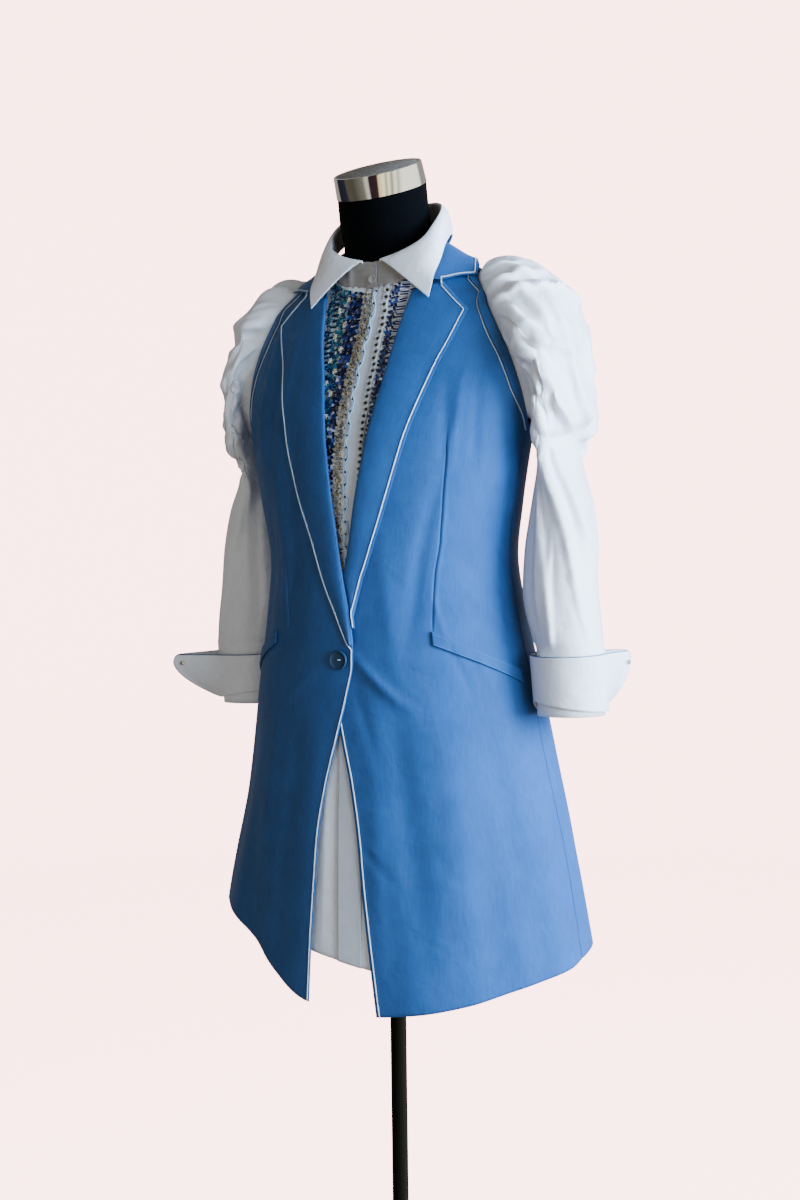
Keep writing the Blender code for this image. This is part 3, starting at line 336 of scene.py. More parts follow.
# From the button's spot on the cloth: its two holes, and the middle of its thread
HOLES = ((-0.0007, -0.0027, 0.0004), (0.0027, -0.0027, 0.0004))
THREAD_MIDDLE, THREAD_REACH = (BUTTON_ASIDE, -0.0028, 0.0004), (0.0019, 0, 0)
THREAD_ARCH, THREAD_APART = (0, 0.0005, 0), 0.00035
SHELL_BUTTON_PROFILE = ((0, 0), (4, 0), (4.5, 0.8), (4.3, 1.4), (3.6, 1.5), (3, 1), (0, 0.9))
STUD_PROFILE = ((0, 0), (1.8, 0), (2.6, 0.8), (2.8, 1.6), (2.2, 2.6), (0, 3.1))
CAP_PROFILE = ((0, 0), (49.3, 0), (50.3, 0.8), (50.3, 1.6), (49.1, 23.5), (48.7, 24.3), (48.1, 24.5),
               (46.9, 24.5), (46.5, 23.3), (0, 23.3))
CAP_TOP_PROFILE = ((0, 23.4), (46.1, 23.4), (46.1, 24), (45.5, 24.4), (0, 24.5))

# Profiles of sequins and beads, in their own radius
SEQUIN_PROFILE = ((0, -0.1), (0.96, 0.2), (1.0, 0.26), (0, 0.04))
BEAD_PROFILE = ((0, -0.9), (0.8, -0.5), (1.0, 0.0), (0.8, 0.5), (0, 0.9))
RING_PROFILE = ((0, 0.0), (0.9, 0.0), (1.0, 0.25), (0.86, 0.45), (0.66, 0.4), (0.56, 0.15), (0, 0.12))
BALL_PROFILE = ((0, 0.0), (0.4, 0.05), (0.48, 0.3), (0.34, 0.5), (0, 0.56))
SEQUIN_DROOP = 0.14    # every sequin hangs forward by this share

# Bands of sequins: piece, distance from the centre of its two edges below and at the collar, share
# of the chosen spacing, radius, colours and how many of each, seed, how unevenly the sequins tip
SEQUIN_BANDS = (
    ("sequins_teal", (-0.04, -0.054), (-0.0205, -0.0245), 1.0, 0.0018,
     ("1d5f7c", "2f86a0", "123a5c", "1b2f6e", "8cc3cf", "d9e6e6"), (5, 4, 5, 3, 2, 1), 11, 0.16),
    # the near-white f4f7fc sequins of the navy band are painted glints, standing in for crescent highlights
    # on cupped sequins
    ("sequins_navy", (-0.0205, -0.0245), (-0.01, -0.0045), 1.12, 0.0022,
     ("111c4a", "1a2f7c", "090f28", "2c55b0", "f4f7fc"), (5, 5, 4, 2, 2), 12, 0.34),
    # the near-white f0f3fa sequins of the royal band are painted glints
    ("sequins_royal", (0.0275, 0.0275), (0.037, 0.037), 1.0, 0.0018,
     ("14224f", "20408c", "0b1230", "3a63b8", "f0f3fa"), (5, 4, 5, 2, 1), 13, 0.3),
    ("sequins_pale", (-0.09, -0.09), (-0.04, -0.054), 1.15, 0.0017,
     ("9fb8cf", "5f86a8", "dfe6ee", "33506b"), (4, 3, 3, 2), 14, 0.16),
)
# Band of seed beads: the same, with its spacing in metres
GOLD_BAND = ("beads_gold", (-0.0098, -0.0042), (0.0022, 0.008), 0.0021, 0.001,
             ("d0bf8c", "8f8a80", "f0ebdc", "5b5346", "b7bcc2", "26303a"), (5, 3, 4, 2, 4, 2), 21)
# Ladders of tubes: piece, distance from the centre, length, spacing, radius, colours in turn, seed, slant
TUBE_LADDERS = (
    ("tubes_left", -0.04, 0.0052, 0.0026, 0.0008, ("f2f2ee", "10131a"), 31, 0.35),
    ("tubes_right", 0.0422, 0.009, 0.0023, 0.0009, ("eef3fa", "16275c", "1c3170"), 32, -0.15),
    ("tubes_edge", 0.051, 0.006, 0.0026, 0.0008, ("8fa8c0", "2a3b55", "e9eef2"), 33, 0.0),
)
RINGS_PLACE, RINGS_PITCH, RING_RADIUS = 0.0236, 0.007, 0.0036
LOOPS_PLACE, LOOP_RADIUS = (0.0068, 0.0105), 0.0026     # of the wavy cord's middle line
STARS_PLACE, STARS_SWAY, STARS_PITCH = -0.0285, 0.0045, 0.0125
STAR_RAY, STAR_TUBE = 0.0017, (0.0026, 0.0006, 0.0006)
# Heights of their middles over the shirt
SEQUIN_LIFT, BEAD_LIFT, BUGLE_LIFT, RING_LIFT = 0.0006, 0.0007, 0.0008, 0.0003
CENTRE_LIFT, LOOP_LIFT, STAR_LIFT = 0.0005, 0.0009, 0.0016
# How unevenly they are sewn
SEQUIN_JITTER, BEAD_JITTER, BUGLE_JITTER = 0.00035, 0.00022, 0.0003
RING_JITTER, STAR_JITTER = 0.0007, 0.0006
SEEN_MARGIN, SEEN_LEAST = 0.0015, 0.0045     # where the shirt is seen between the lapels

# Camera
CAMERA_TURN, CAMERA_AWAY = np.radians(29.0), 1.87
CAMERA_HEIGHT, CAMERA_DIP, CAMERA_ROLL = 1.085, np.radians(1.3), np.radians(0.75)
PHOTO_HEIGHT, FOCAL_PIXELS, SIDE_PIXELS = 1200, 1670.0, 2.0
SENSOR = 36.0

# Soft lights: name, degrees to the right of the camera and up, distance, size, power, colour
LIGHTS = (
    ("key", 65, 10, 2.6, 1.5, 440, (0.6, 0.78, 1.0)),
    ("front_key", 36, 2, 2.8, 1.0, 72, (0.62, 0.79, 1.0)),
    ("fill", -35, -4, 3.2, 2.2, 20, (1.0, 0.95, 0.88)),
)
DAYLIGHT, DAYLIGHT_STRENGTH = (1.0, 0.95, 0.9, 1), 0.235
PAPER_COLOUR, PAPER_GLOW = "ffc7c1", 7.2      # a pale warm white under the view transform
PAPER_FLAT, PAPER_BEND, PAPER_TOP = 4.2, 1.2, 6.0     # radius of the floor, of its bend, and height
PAPER_RINGS, PAPER_COLUMNS, PAPER_DROP = (0.3, 1.0, 2.0, 3.0, PAPER_FLAT), 96, 0.0005
ROOM_RADIUS, ROOM_HEIGHTS, ROOM_COLUMNS = 3.2, (-4.0, 5.0), 73

# The room that polished metal reflects: degrees to the right of the camera, colour
ROOM_GLOW = 2.2
ROOM_STRIPS = (
    (-180, (0.2, 0.2, 0.2)), (-134, (0.2, 0.19, 0.19)), (-128, (0.01, 0.01, 0.012)),
    (-100, (0.012, 0.014, 0.03)), (-94, (0.06, 0.05, 0.04)), (-72, (0.045, 0.045, 0.035)),
    (-44, (0.12, 0.12, 0.105)), (-36, (0.42, 0.42, 0.39)), (-31, (0.4, 0.38, 0.36)),
    (-28, (0.018, 0.01, 0.014)), (-8, (0.025, 0.014, 0.02)), (-4, (0.66, 0.52, 0.3)),
    (8, (0.92, 0.86, 0.56)), (14, (0.3, 0.29, 0.22)), (20, (0.9, 0.88, 0.66)), (28, (0.22, 0.22, 0.18)),
    (36, (0.95, 0.93, 0.74)), (44, (0.42, 0.42, 0.38)), (54, (0.98, 0.97, 0.84)), (96, (1.0, 1.0, 0.9)),
    (112, (0.9, 0.9, 0.8)), (120, (0.2, 0.2, 0.21)), (180, (0.2, 0.2, 0.2)),
)
WAVES_A_UNIT = 0.444     # scale at which the wave pattern repeats once in a metre

# Turns of a profile's top: to the front, and to the neck's lean
FACING_FRONT, LEANING = (np.array(Matrix.Rotation(angle, 3, "X")) for angle in (np.pi / 2, NECK_LEAN))


def smooth_curve(keys, values, at):
    """Smooth curve through a table that never overshoots its own values."""
    step = np.diff(keys)
    slope = np.diff(values) / step
    total = slope[:-1] + slope[1:]
    same_way = slope[:-1] * slope[1:] > 0
    inner = np.where(same_way, 2 * slope[:-1] * slope[1:] / np.where(total == 0, 1, total), 0)
    tangent = np.concatenate([[slope[0]], inner, [slope[-1]]])
    at = np.clip(at, keys[0], keys[-1])
    i = np.clip(np.searchsorted(keys, at, side="right") - 1, 0, len(step) - 1)
    t = (at - keys[i]) / step[i]
    return ((1 + 2 * t) * (1 - t) ** 2 * values[i] + t * (1 - t) ** 2 * step[i] * tangent[i]
            + t * t * (3 - 2 * t) * values[i + 1] + t * t * (t - 1) * step[i] * tangent[i + 1])


def column(table, index, at):
    """A column of a table, read at values of its first column."""
    return smooth_curve(table[:, 0], table[:, index], at)


def ease(value, start, end):
    """0 before start, 1 after end, smooth between them."""
    t = np.clip((value - start) / (end - start), 0, 1)
    return t * t * (3 - 2 * t)


def half_turn(angle):
    """The same angle between -180 and 180 degrees."""
    return (angle + np.pi) % (2 * np.pi) - np.pi


def oval(table, angle, height, bulge=0.0):
    """Point of a section made of a front and a back half ellipse."""
    width, front, back, widest = (column(table, i, height) for i in range(1, 5))
    across, forward = np.sin(angle), np.cos(angle)
    depth = np.where(forward > 0, widest - front, back - widest)
    return np.stack([width * across + bulge * across,
                     widest - depth * forward - bulge * forward,
                     height + 0 * angle], -1)


def skirt_bulge(angle, height):
    """How far the folds of the skirt push its surface out."""
    total = np.zeros(np.broadcast(angle, height).shape)
    for middle, half_width, depth, top in SKIRT_FOLDS:
        away = np.degrees(half_turn(angle - np.radians(middle))) / half_width
        ridge = np.where(np.abs(away) < 1, np.cos(away * np.pi / 2) ** 2, 0)
        total = total + depth * ridge * ease(top - height, 0, FOLD_GROWTH)
    return total


def dress_face(angle, height):
    """Plain outer face of the dress: the ovals of its table and the skirt's folds."""
    return oval(DRESS, angle, height, skirt_bulge(angle, height))


def dress_point(angle, height, lift=0.0):
    """Point of the dress's outer face, moved out along its normal by lift."""
    angle, height, lift = np.broadcast_arrays(angle, height, lift)
    step = 1e-4
    around = dress_face(angle + step, height) - dress_face(angle - step, height)
    upward = dress_face(angle, height + step) - dress_face(angle, height - step)
    normal = np.cross(around, upward)
    normal /= np.linalg.norm(normal, axis=-1, keepdims=True)
    return dress_face(angle, height) + normal * lift[..., None]


def angle_of(distance, height):
    """Angle on the body of a distance from the centre front."""
    return np.arcsin(np.clip(distance / column(DRESS, 1, height), -1, 1))


def hem_drop(angle, row):
    """How far a row's height moves at an angle, so that the lowest row follows the hem."""
    degrees = np.degrees(half_turn(angle))
    share = np.clip(1 - (row - HEM_ROW) / (HEM_FADE_TOP - HEM_ROW), 0, 1) ** 1.5
    return (column(HEM, 1, degrees) - HEM_ROW) * share


def front_lift(side, angle, height):
    """The right front laps over the left one."""
    if side == LEFT:
        return np.zeros(np.broadcast(angle, height).shape)
    near_centre = ease(np.degrees(angle), -30, -12)
    return OVERLAP_LIFT * near_centre * (1 - ease(height, 1.08, 1.2))


def front_edge(side, height):
    """Distance of a front's free edge or roll line from the centre, to its own side."""
    return column(FRONT_EDGE, 2 if side == LEFT else 1, height)


def armhole_angle(height, back=False):
    """Angle on the body of the armhole's front or back edge at a height."""
    return np.radians(column(ARMHOLE, 2 if back else 1, height))


def unit(vectors):
    """Vectors divided by their lengths."""
    return vectors / np.maximum(np.linalg.norm(vectors, axis=-1, keepdims=True), 1e-12)


def run_along(points):
    """Distance of each point of a line from the line's start."""
    return np.concatenate([[0], np.cumsum(np.linalg.norm(np.diff(points, axis=0), axis=-1))])


def full_turn(steps):
    """Equal angles once round, from 0."""
    return np.linspace(0, 2 * np.pi, steps, endpoint=False)


def revolved(radius, height, steps):
    """Rings of a profile about +Z: x is radius times the angle's cosine, y times its sine."""
    turn = full_turn(steps)
    return np.stack([radius[:, None] * np.cos(turn), radius[:, None] * np.sin(turn),
                     height[:, None] + 0 * turn], -1)


def finer(points, steps, axis, closed=False):
    """Smooth grid through a coarse one, each step cut into a number of steps.

    Between two rows it is the cubic whose slope at a row is half the step between its neighbours.
    """
    points = np.moveaxis(points, axis, 0)
    if closed:
        here, before, after, beyond = (np.roll(points, turn, 0) for turn in (0, 1, -1, -2))
    else:
        here, after = points[:-1], points[1:]
        before = np.concatenate([2 * points[:1] - points[1:2], points[:-2]])
        beyond = np.concatenate([points[2:], 2 * points[-1:] - points[-2:-1]])
    t = (np.arange(steps) / steps).reshape((1, -1) + (1,) * (points.ndim - 1))
    here, before, after, beyond = (part[:, None] for part in (here, before, after, beyond))
    curve = here + t / 2 * (after - before + t * (2 * before - 5 * here + 4 * after - beyond
                                                 + t * (3 * (here - after) + beyond - before)))
    made = curve.reshape((-1,) + points.shape[1:])
    if not closed:
        made = np.concatenate([made, points[-1:]])
    return np.moveaxis(made, 0, axis)


def lines_relief(x, z, table):
    """Height of soft ridges along straight lines on flat cloth.

    Each row is start x, z, end x, z, half width and height; the height falls as
    exp(-(distance / half width) squared) and as a half sine towards the line's ends.
    """
    total = np.zeros(np.broadcast(x, z).shape)
    for start_x, start_z, end_x, end_z, half_width, height in table:
        run_x, run_z = end_x - start_x, end_z - start_z
        length = np.hypot(run_x, run_z)
        along = ((x - start_x) * run_x + (z - start_z) * run_z) / length ** 2
        off = ((x - start_x) * run_z - (z - start_z) * run_x) / length
        fade = np.sin(np.pi * np.clip(along, 0, 1)) ** 0.7
        total = total + height * np.exp(-(off / half_width) ** 2) * fade
    return total


def body_relief(angle, height):
    """Creases of the dress's body, laid out flat at one mean radius."""
    return lines_relief(half_turn(angle) * BODY_RADIUS, height, BODY_CREASES)


def body_point(angle, height, lift=0.0):
    """Point of the creased outer face of the dress, moved out by lift."""
    return dress_point(angle, height, lift + body_relief(angle, height))


def facing_out(grid, middle):
    """The grid, with its columns turned round where its faces would point at the middle."""
    normal = np.cross(grid[1:, 1:] - grid[:-1, :-1], grid[1:, :-1] - grid[:-1, 1:])
    centre = (grid[1:, 1:] + grid[:-1, :-1]) / 2
    return grid if (normal * (centre - middle)).sum() > 0 else grid[:, ::-1]


def grid_faces(rows, columns, closed=False):
    """Corner numbers of the faces between neighbouring rows and columns of a grid."""
    row, col = np.meshgrid(np.arange(rows - 1), np.arange(columns if closed else columns - 1),
                           indexing="ij")
    beside = (col + 1) % columns
    corners = [row * columns + col, row * columns + beside,
               (row + 1) * columns + beside, (row + 1) * columns + col]
    return np.stack(corners, -1).reshape(-1, 4)


def closed_round(grid, closed):
    """The grid, with its first column again at the end where it closes on itself."""
    return np.concatenate([grid, grid[:, :1]], 1) if closed else grid


def grid_corners_uv(grid, closed=False):
    """Metres along the rows and up the columns, at each corner of each face."""
    wide = closed_round(grid, closed)
    across = np.linalg.norm(np.diff(wide, axis=1), axis=-1).mean(0)
    upward = np.linalg.norm(np.diff(wide, axis=0), axis=-1).mean(1)
    u, v = np.meshgrid(np.concatenate([[0], np.cumsum(across)]),
                       np.concatenate([[0], np.cumsum(upward)]))
    flat = np.stack([u, v], -1)
    return np.stack([flat[:-1, :-1], flat[:-1, 1:], flat[1:, 1:], flat[1:, :-1]], 2).reshape(-1, 2)


def mesh_object(name, points, faces, material):
    """New smooth mesh object at the origin."""
    mesh = bpy.data.meshes.new(name)
    mesh.from_pydata(points.tolist(), [], [list(face) for face in faces])
    mesh.shade_smooth()
    mesh.materials.append(material)
    thing = bpy.data.objects.new(name, mesh)
    bpy.context.scene.collection.objects.link(thing)
    return thing


def piece(name, points, faces, maker, replaces=(), corners_uv=None, tints=None, sharp=50.0):
    """Finished piece, riding on the one body and moved back with the form."""
    thing = mesh_object(name, points + np.array([0, BODY_BACK, 0]), faces, finish(maker))
    if corners_uv is not None:
        layer = thing.data.uv_layers.new(name="cloth")
        layer.data.foreach_set("uv", corners_uv.astype(np.float32).ravel())
    if tints is not None:
        layer = thing.data.color_attributes.new("tint", "FLOAT_COLOR", "POINT")
        layer.data.foreach_set("color", tints.astype(np.float32).ravel())
    thing.data.set_sharp_from_angle(angle=np.radians(sharp))
    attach(thing, "root")
    if replaces:
        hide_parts(*replaces)
    return thing


def cloth_piece(node, grid, wall, maker, middle, closed=False, name=None):
    """Wall of cloth inside a grid of its outer points, with flat coordinates.

    It stands for a node and is named for it, unless it has a name of its own.
    """
    outer = facing_out(grid, middle)
    thing = piece(name or node + "_cloth", outer.reshape(-1, 3),
                  grid_faces(*grid.shape[:2], closed).tolist(), maker, [node] if node else (),
                  grid_corners_uv(outer, closed))
    thickness = thing.modifiers.new("wall", "SOLIDIFY")
    thickness.thickness = wall
    thickness.offset = -1
    thickness.use_quality_normals = True


def along_path(path, spacing, *others):
    """A path and the values given with it, read at even distances."""
    place = run_along(path)
    count = max(int(round(place[-1] / spacing)), 2)
    even = np.linspace(0, place[-1], count + 1)
    return [np.stack([np.interp(even, place, values[:, i]) for i in range(values.shape[1])], -1)
            for values in (path,) + others]


def cord_rings(path, normals, radius, pitch, lobes, sides):
    """Rings round a path: the section has lobes that turn once round in each pitch.

    The reach from the path is radius times (1 + CORD_LOBE times the cosine of lobes times the
    angle less its twist); the second result is that cosine brought between 0 and 1.
    """
    ahead = unit(np.gradient(path, axis=0))
    side = unit(np.cross(ahead, normals))
    up = np.cross(side, ahead)
    turn = full_turn(sides)[None, :]
    twist = 2 * np.pi * run_along(path)[:, None] / pitch
    crest = np.cos(lobes * (turn - twist))
    reach = radius * (1 + CORD_LOBE * crest)
    return (path[:, None] + side[:, None] * (reach * np.cos(turn))[..., None]
            + up[:, None] * (reach * np.sin(turn))[..., None]), 0.5 + 0.5 * crest


def cord_piece(name, paths, radius, pitch, maker, slot="cord_trim", lobes=2, sides=8, spacing=0.0006):
    """Joined tubes with flat ends, one along each path of points and normals."""
    points, faces, uv, crests, first = [], [], [], [], 0
    for path, normals in paths:
        path, normals = along_path(path, spacing, normals)
        rings, crest = cord_rings(path, unit(normals), radius, pitch, lobes, sides)
        # the crest share goes into the tint attribute, from which the cord's material paints shade into the
        # grooves
        crests.append(np.repeat(crest.reshape(-1, 1), 4, axis=1))
        points.append(rings.reshape(-1, 3))
        start = first + np.arange(sides)
        faces += (grid_faces(*rings.shape[:2], closed=True) + first).tolist()
        faces += [start[::-1].tolist(), (start + (len(rings) - 1) * sides).tolist()]
        uv += [grid_corners_uv(rings, closed=True), np.zeros((2 * sides, 2))]
        first += rings.shape[0] * sides
    piece(name, np.concatenate(points), faces, maker, corners_uv=np.concatenate(uv),
          tints=np.concatenate(crests), sharp=80.0)


def laid_on(shape, u, v, lift, middle):
    """Points of a surface of two numbers moved off it, away from middle, and their normals."""
    step = 1e-3
    normal = unit(np.cross(shape(u + step, v) - shape(u - step, v),
                           shape(u, v + step) - shape(u, v - step)))
    points = shape(u, v)
    normal = normal * np.sign(((points - middle) * normal).sum(-1, keepdims=True))
    return points + normal * np.asarray(lift)[..., None], normal


def clustered(count):
    """Numbers from 0 to 1, closer together towards both ends."""
    even = np.linspace(0, 1, count)
    return 0.3 * even + 0.7 * (1 - np.cos(np.pi * even)) / 2


def side_edge(height, back):
    """Angle of a panel's outer edge: side seam, then armhole, then shoulder seam."""
    sign = 1 if back else -1
    edge = armhole_angle(height, back)
    edge = np.where(height <= UNDERARM, SIDE_SEAM, edge)
    edge = np.where(height >= SHOULDER_EDGE, SHOULDER_SEAM, edge)
    return edge + sign * VISIBLE_SEAM / 2 / column(DRESS, 1, height)


def dart_relief(angle, height, dart_angle, foot, top):
    """Sewn line of a dart: a narrow groove with the cloth a little proud on one side."""
    away = (angle - dart_angle) * column(DRESS, 1, height)
    fade = ease(height, foot, foot + 0.004) * (1 - ease(height, top - 0.045, top))
    groove = -DART_DEPTH * np.exp(-(away / DART_WIDTH) ** 2)
    proud = 0.6 * DART_DEPTH * np.exp(-((away - 3 * DART_WIDTH) / (2.2 * DART_WIDTH)) ** 2)
    return (groove + proud) * fade


def panel_grid(side, inner, middle, outer, dart, lift=None):
    """Points of a panel between its edges; the middle line, where the dart runs, is a column."""
    height = np.linspace(HEM_ROW, NECK_EDGE, PANEL_STEPS)[:, None]
    half = clustered(PANEL_HALF)
    share = np.concatenate([half, half[1:]])[None, :]
    first = (np.arange(2 * PANEL_HALF - 1) < PANEL_HALF)[None, :]
    inner, middle, outer = (edge(height[:, 0])[:, None] for edge in (inner, middle, outer))
    angle = np.where(first, inner + (middle - inner) * share, middle + (outer - middle) * share)
    z = height + hem_drop(side * angle, height)
    radius = column(DRESS, 1, z)
    to_seam = np.abs(outer - angle) * radius
    tuck = -SEAM_TUCK * np.exp(-(to_seam / SEAM_TUCK_WIDTH) ** 2)
    raised = tuck + dart_relief(angle, z, middle, *dart)
    if lift is not None:
        raised = raised + lift(side * angle, z)
    return body_point(side * angle, z, raised)


def front_grid(side):
    """A front from its free edge or roll line, past its dart, to side seam and armhole."""
    dart = DARTS[:, 1 if side == LEFT else 2]
    return panel_grid(side,
                      lambda z: angle_of(front_edge(side, z), z),
                      lambda z: np.radians(smooth_curve(DARTS[:, 0], dart, z)),
                      lambda z: side_edge(z, back=False),
                      (POCKET_TOP, DART_TOP[side]),
                      lambda angle, z: front_lift(side, angle, z))


def back_grid(side):
    """A back from the centre seam, past its dart, to side seam and armhole."""
    return panel_grid(side,
                      lambda z: CENTRE_BACK - VISIBLE_SEAM / 2 / column(DRESS, 1, z),
                      lambda z: np.radians(BACK_DART_ANGLE) + 0 * z,
                      lambda z: side_edge(z, back=True),
                      (BACK_DART_FOOT, BACK_DART_TOP))


def lapel_surface(side, foot, share, across):
    """Point of a lapel: share runs up it, across from its roll to its edge.

    Below 0, across turns round the rolled edge, half a turn at -1. The lapel is lifted by
    its roll, swells in the middle and lies down to its edge; its top edge has the notch.
    """
    roll_height = foot + (GORGE_HEIGHT - foot) * share
    edge_height = foot + (LAPEL_POINT - foot) * share
    roll = front_edge(side, roll_height)
    low, high, top = LAPEL_HALFWAY
    halfway = ease(edge_height, foot, low) * (1 - ease(edge_height, high, top))
    edge = column(LAPEL_EDGE, 1, edge_height) - LAPEL_NARROWER[side] * halfway
    if side == LEFT:
        roll = np.maximum(roll, LAPELS_APART - front_edge(RIGHT, roll_height))
        distance, height, slope = LEFT_LAPEL_LOW
        edge = np.maximum(edge, distance + (edge_height - height) * slope)
    edge = np.maximum(edge, roll + LAPEL_LEAST)
    out, turn = np.maximum(across, 0), np.pi * np.clip(-across, 0, 1)
    x = roll + (edge - roll) * out - ROLL_RADIUS * np.sin(turn)
    z = roll_height + (edge_height - roll_height) * out
    peak = 1 - np.abs(out - NOTCH_SHARE) / np.where(out < NOTCH_SHARE, NOTCH_SHARE, 1 - NOTCH_SHARE)
    z = z + NOTCH_RISE * peak * ease(share, NOTCH_START, 1)
    swell = LAPEL_SWELL * (1.6 - share) * np.sin(np.pi * out ** 0.7)
    lift = LAPEL_LIFT - LAPEL_FALL * out + swell - ROLL_RADIUS * (1 - np.cos(turn))
    angle = side * angle_of(x, z)
    return body_point(angle, z, lift + front_lift(side, angle, z))


def lapel_grid(side):
    """A lapel up from its foot, each row from round its rolled edge to its outer edge."""
    share = np.linspace(0, 1, 120)[:, None]
    across = np.concatenate([np.linspace(-1, 0, 9)[:-1], clustered(36)])[None, :]
    return lapel_surface(side, LAPEL_FOOT[side], share, across)


def collar_lines(table, along):
    """Fold line and outer edge of a collar: along is -1 at the right front, 0 at the back."""
    knots = np.linspace(0, 1, len(table))
    values = np.stack([smooth_curve(knots, table[:, i], np.abs(along)) for i in range(6)], -1)
    mirror = np.where(along < 0, -1, 1)
    values[..., 0] *= mirror
    values[..., 3] *= mirror
    return values[..., :3], values[..., 3:]


def outward(points):
    """Level direction away from the neck."""
    return unit((points - NECK_AXIS) * LEVEL)


def collar_fall(table, along, across, rise, swell):
    """Point of a turned-down collar from its fold, 0, to its outer edge, 1."""
    fold, edge = collar_lines(table, along)
    out = outward(fold)
    across = np.asarray(across)[..., None]
    arch = np.sin(np.pi * np.clip(across, 0, 1) ** 0.7)
    start = fold + rise * UP + out * FALL_START
    return start + (edge - start) * across + (out + 0.4 * UP) * swell * arch


def collar_shape(along, across):
    """Point of the blazer collar's fall; its front edges dip to the notch."""
    point = collar_fall(BLAZER_COLLAR, along, across, 0.0, COLLAR_SWELL)
    dip = NOTCH_DIP * ease(np.abs(along), 0.93, 1.0) * np.exp(-((across - 0.38) / 0.22) ** 2)
    return point - dip[..., None] * UP


def blazer_collar_grid():
    """Inside stand, rolled fold and fall, blended into one smooth section."""
    along = np.linspace(-1, 1, 161)[:, None]
    fall = collar_shape(along, clustered(14)[None, :])
    fold, _ = collar_lines(BLAZER_COLLAR, along[:, 0])
    foot = dress_point(np.arctan2(fold[:, 0], -fold[:, 1]), NECK_EDGE + COLLAR_FOOT_LIFT)
    into_fall = ease(np.abs(along), 0.55, 0.75)
    foot = foot * (1 - into_fall) + (fold - COLLAR_FOOT_DROP * UP) * into_fall
    coarse = np.concatenate([foot[:, None], (foot[:, None] + fall[:, :1]) / 2, fall], 1)
    return finer(coarse, 3, axis=1)


def shirt_collar_point(along, across):
    """Point of the shirt collar's fall, moved a little to the wearer's left."""
    point = collar_fall(SHIRT_COLLAR, along, across, SHIRT_COLLAR_RISE, SHIRT_COLLAR_SWELL)
    return point + np.array([COLLAR_SHIFT, 0, 0])


def shirt_collar_grid():
    """The shirt collar's fall, with a short turn inside its fold."""
    along = np.linspace(-1, 1, 181)[:, None]
    fold, _ = collar_lines(SHIRT_COLLAR, along[:, 0])
    fold = fold + np.array([COLLAR_SHIFT, 0, 0])
    inside = fold - outward(fold) * FOLD_INSIDE - FOLD_UNDER * UP
    fall = shirt_collar_point(along, clustered(22)[None, :])
    return finer(np.concatenate([inside[:, None], fall], 1), 2, axis=1)


def collar_stand_grid():
    """Band round the neck; at the front its ends lap over each other and its foot is longer."""
    along = np.linspace(-1, 1, 161)
    fold, _ = collar_lines(SHIRT_COLLAR, along)
    top = fold + np.array([COLLAR_SHIFT, 0, -STAND_SHORT])
    near_end = ease(np.abs(along), 0.9, 1.0)
    lapped = STAND_LAP * np.sign(along) * near_end
    top[:, 0] = COLLAR_SHIFT + (top[:, 0] - COLLAR_SHIFT) * (1 - near_end) - lapped
    top[:, 1] -= np.where(along < 0, STAND_OVER, 0) * near_end
    foot = STAND_HEIGHT - STAND_SHORT + STAND_FOOT * ease(np.abs(along), 0.45, 0.8)
    down = np.linspace(0, 1, 17)
    ends = 1 - np.sqrt(np.clip(1 - ((np.abs(along) - 0.94) / 0.06).clip(0, 1) ** 2, 0, 1))
    top[:, 2] -= STAND_ROUND * ends
    grid = top[:, None] - UP * (foot[:, None] * down)[..., None]
    soft = STAND_RIPPLE * np.sin(along * RIPPLE_PACE)[:, None] * np.sin(np.pi * down) ** 0.6
    grid[..., 1] -= soft * ease(np.abs(along), 0.5, 0.8)[:, None]
    return grid


def shirt_depth(distance, height, tucked):
    """The shirt front lies inside the fronts and comes forward at the collar."""
    depth = SHIRT_DEPTH + (SHIRT_SEWN_DEPTH - SHIRT_DEPTH) * tucked
    at_neck = ease(height, *NECK_HEIGHTS) * (1 - ease(np.abs(distance), *NECK_SIDES))
    return depth + NECK_RISE * at_neck


def shirt_height(distance, row):
    """Height of a row of the shirt front: a slanting hem, and a top that follows the collar."""
    hem = -SHIRT_HEM_SLOPE * distance * (1 - ease(row, SHIRT_HEM, SHIRT_HEM_FADE))
    rise = np.interp(np.abs(distance), *SHIRT_TOP_RISE)
    return row + hem + rise * ease(row, SHIRT_TOP_FOOT, SHIRT_TOP)


def shirt_point(x, row, lift=0.0, tucked=0.0):
    """Point of the shirt front at a distance from the centre, with its soft creases."""
    z = shirt_height(x, row)
    gathers = GATHER_DEPTH * np.sin(x * 2 * np.pi / GATHER_PITCH + 2 * np.sin(x * 90))
    soft = lines_relief(x, row, SHIRT_CREASES) + gathers * ease(row, 1.355, SHIRT_TOP)
    return dress_point(angle_of(x, z), z, shirt_depth(x, z, tucked) + soft + lift)


def shirt_front_grid(side):
    """A shirt front from the placket's middle to under the front's edge."""
    row = np.linspace(SHIRT_HEM, SHIRT_TOP, 150)[:, None]
    across = clustered(30)[None, :]
    least = PLACKET_MIDDLE + 0.004 if side == LEFT else 0.006
    wide = np.maximum(front_edge(side, row), least) + UNDER_FRONT
    meeting = PLACKET_MIDDLE + side * SEAM_GAP / 2
    x = meeting + (side * wide - meeting) * across
    return shirt_point(x, row, 0.0, ease(across, 0.7, 1.0))


def placket_grid():
    """The satin strip laid over the meeting of the shirt fronts."""
    row = np.linspace(SHIRT_HEM, SHIRT_TOP, 220)[:, None]
    x = PLACKET_MIDDLE + PLACKET_HALF * np.linspace(-1, 1, 25)[None, :]
    short = PLACKET_SHORT * ease(row, SHIRT_TOP_FOOT, SHIRT_TOP)
    return shirt_point(x, row - short, PLACKET_FACE)


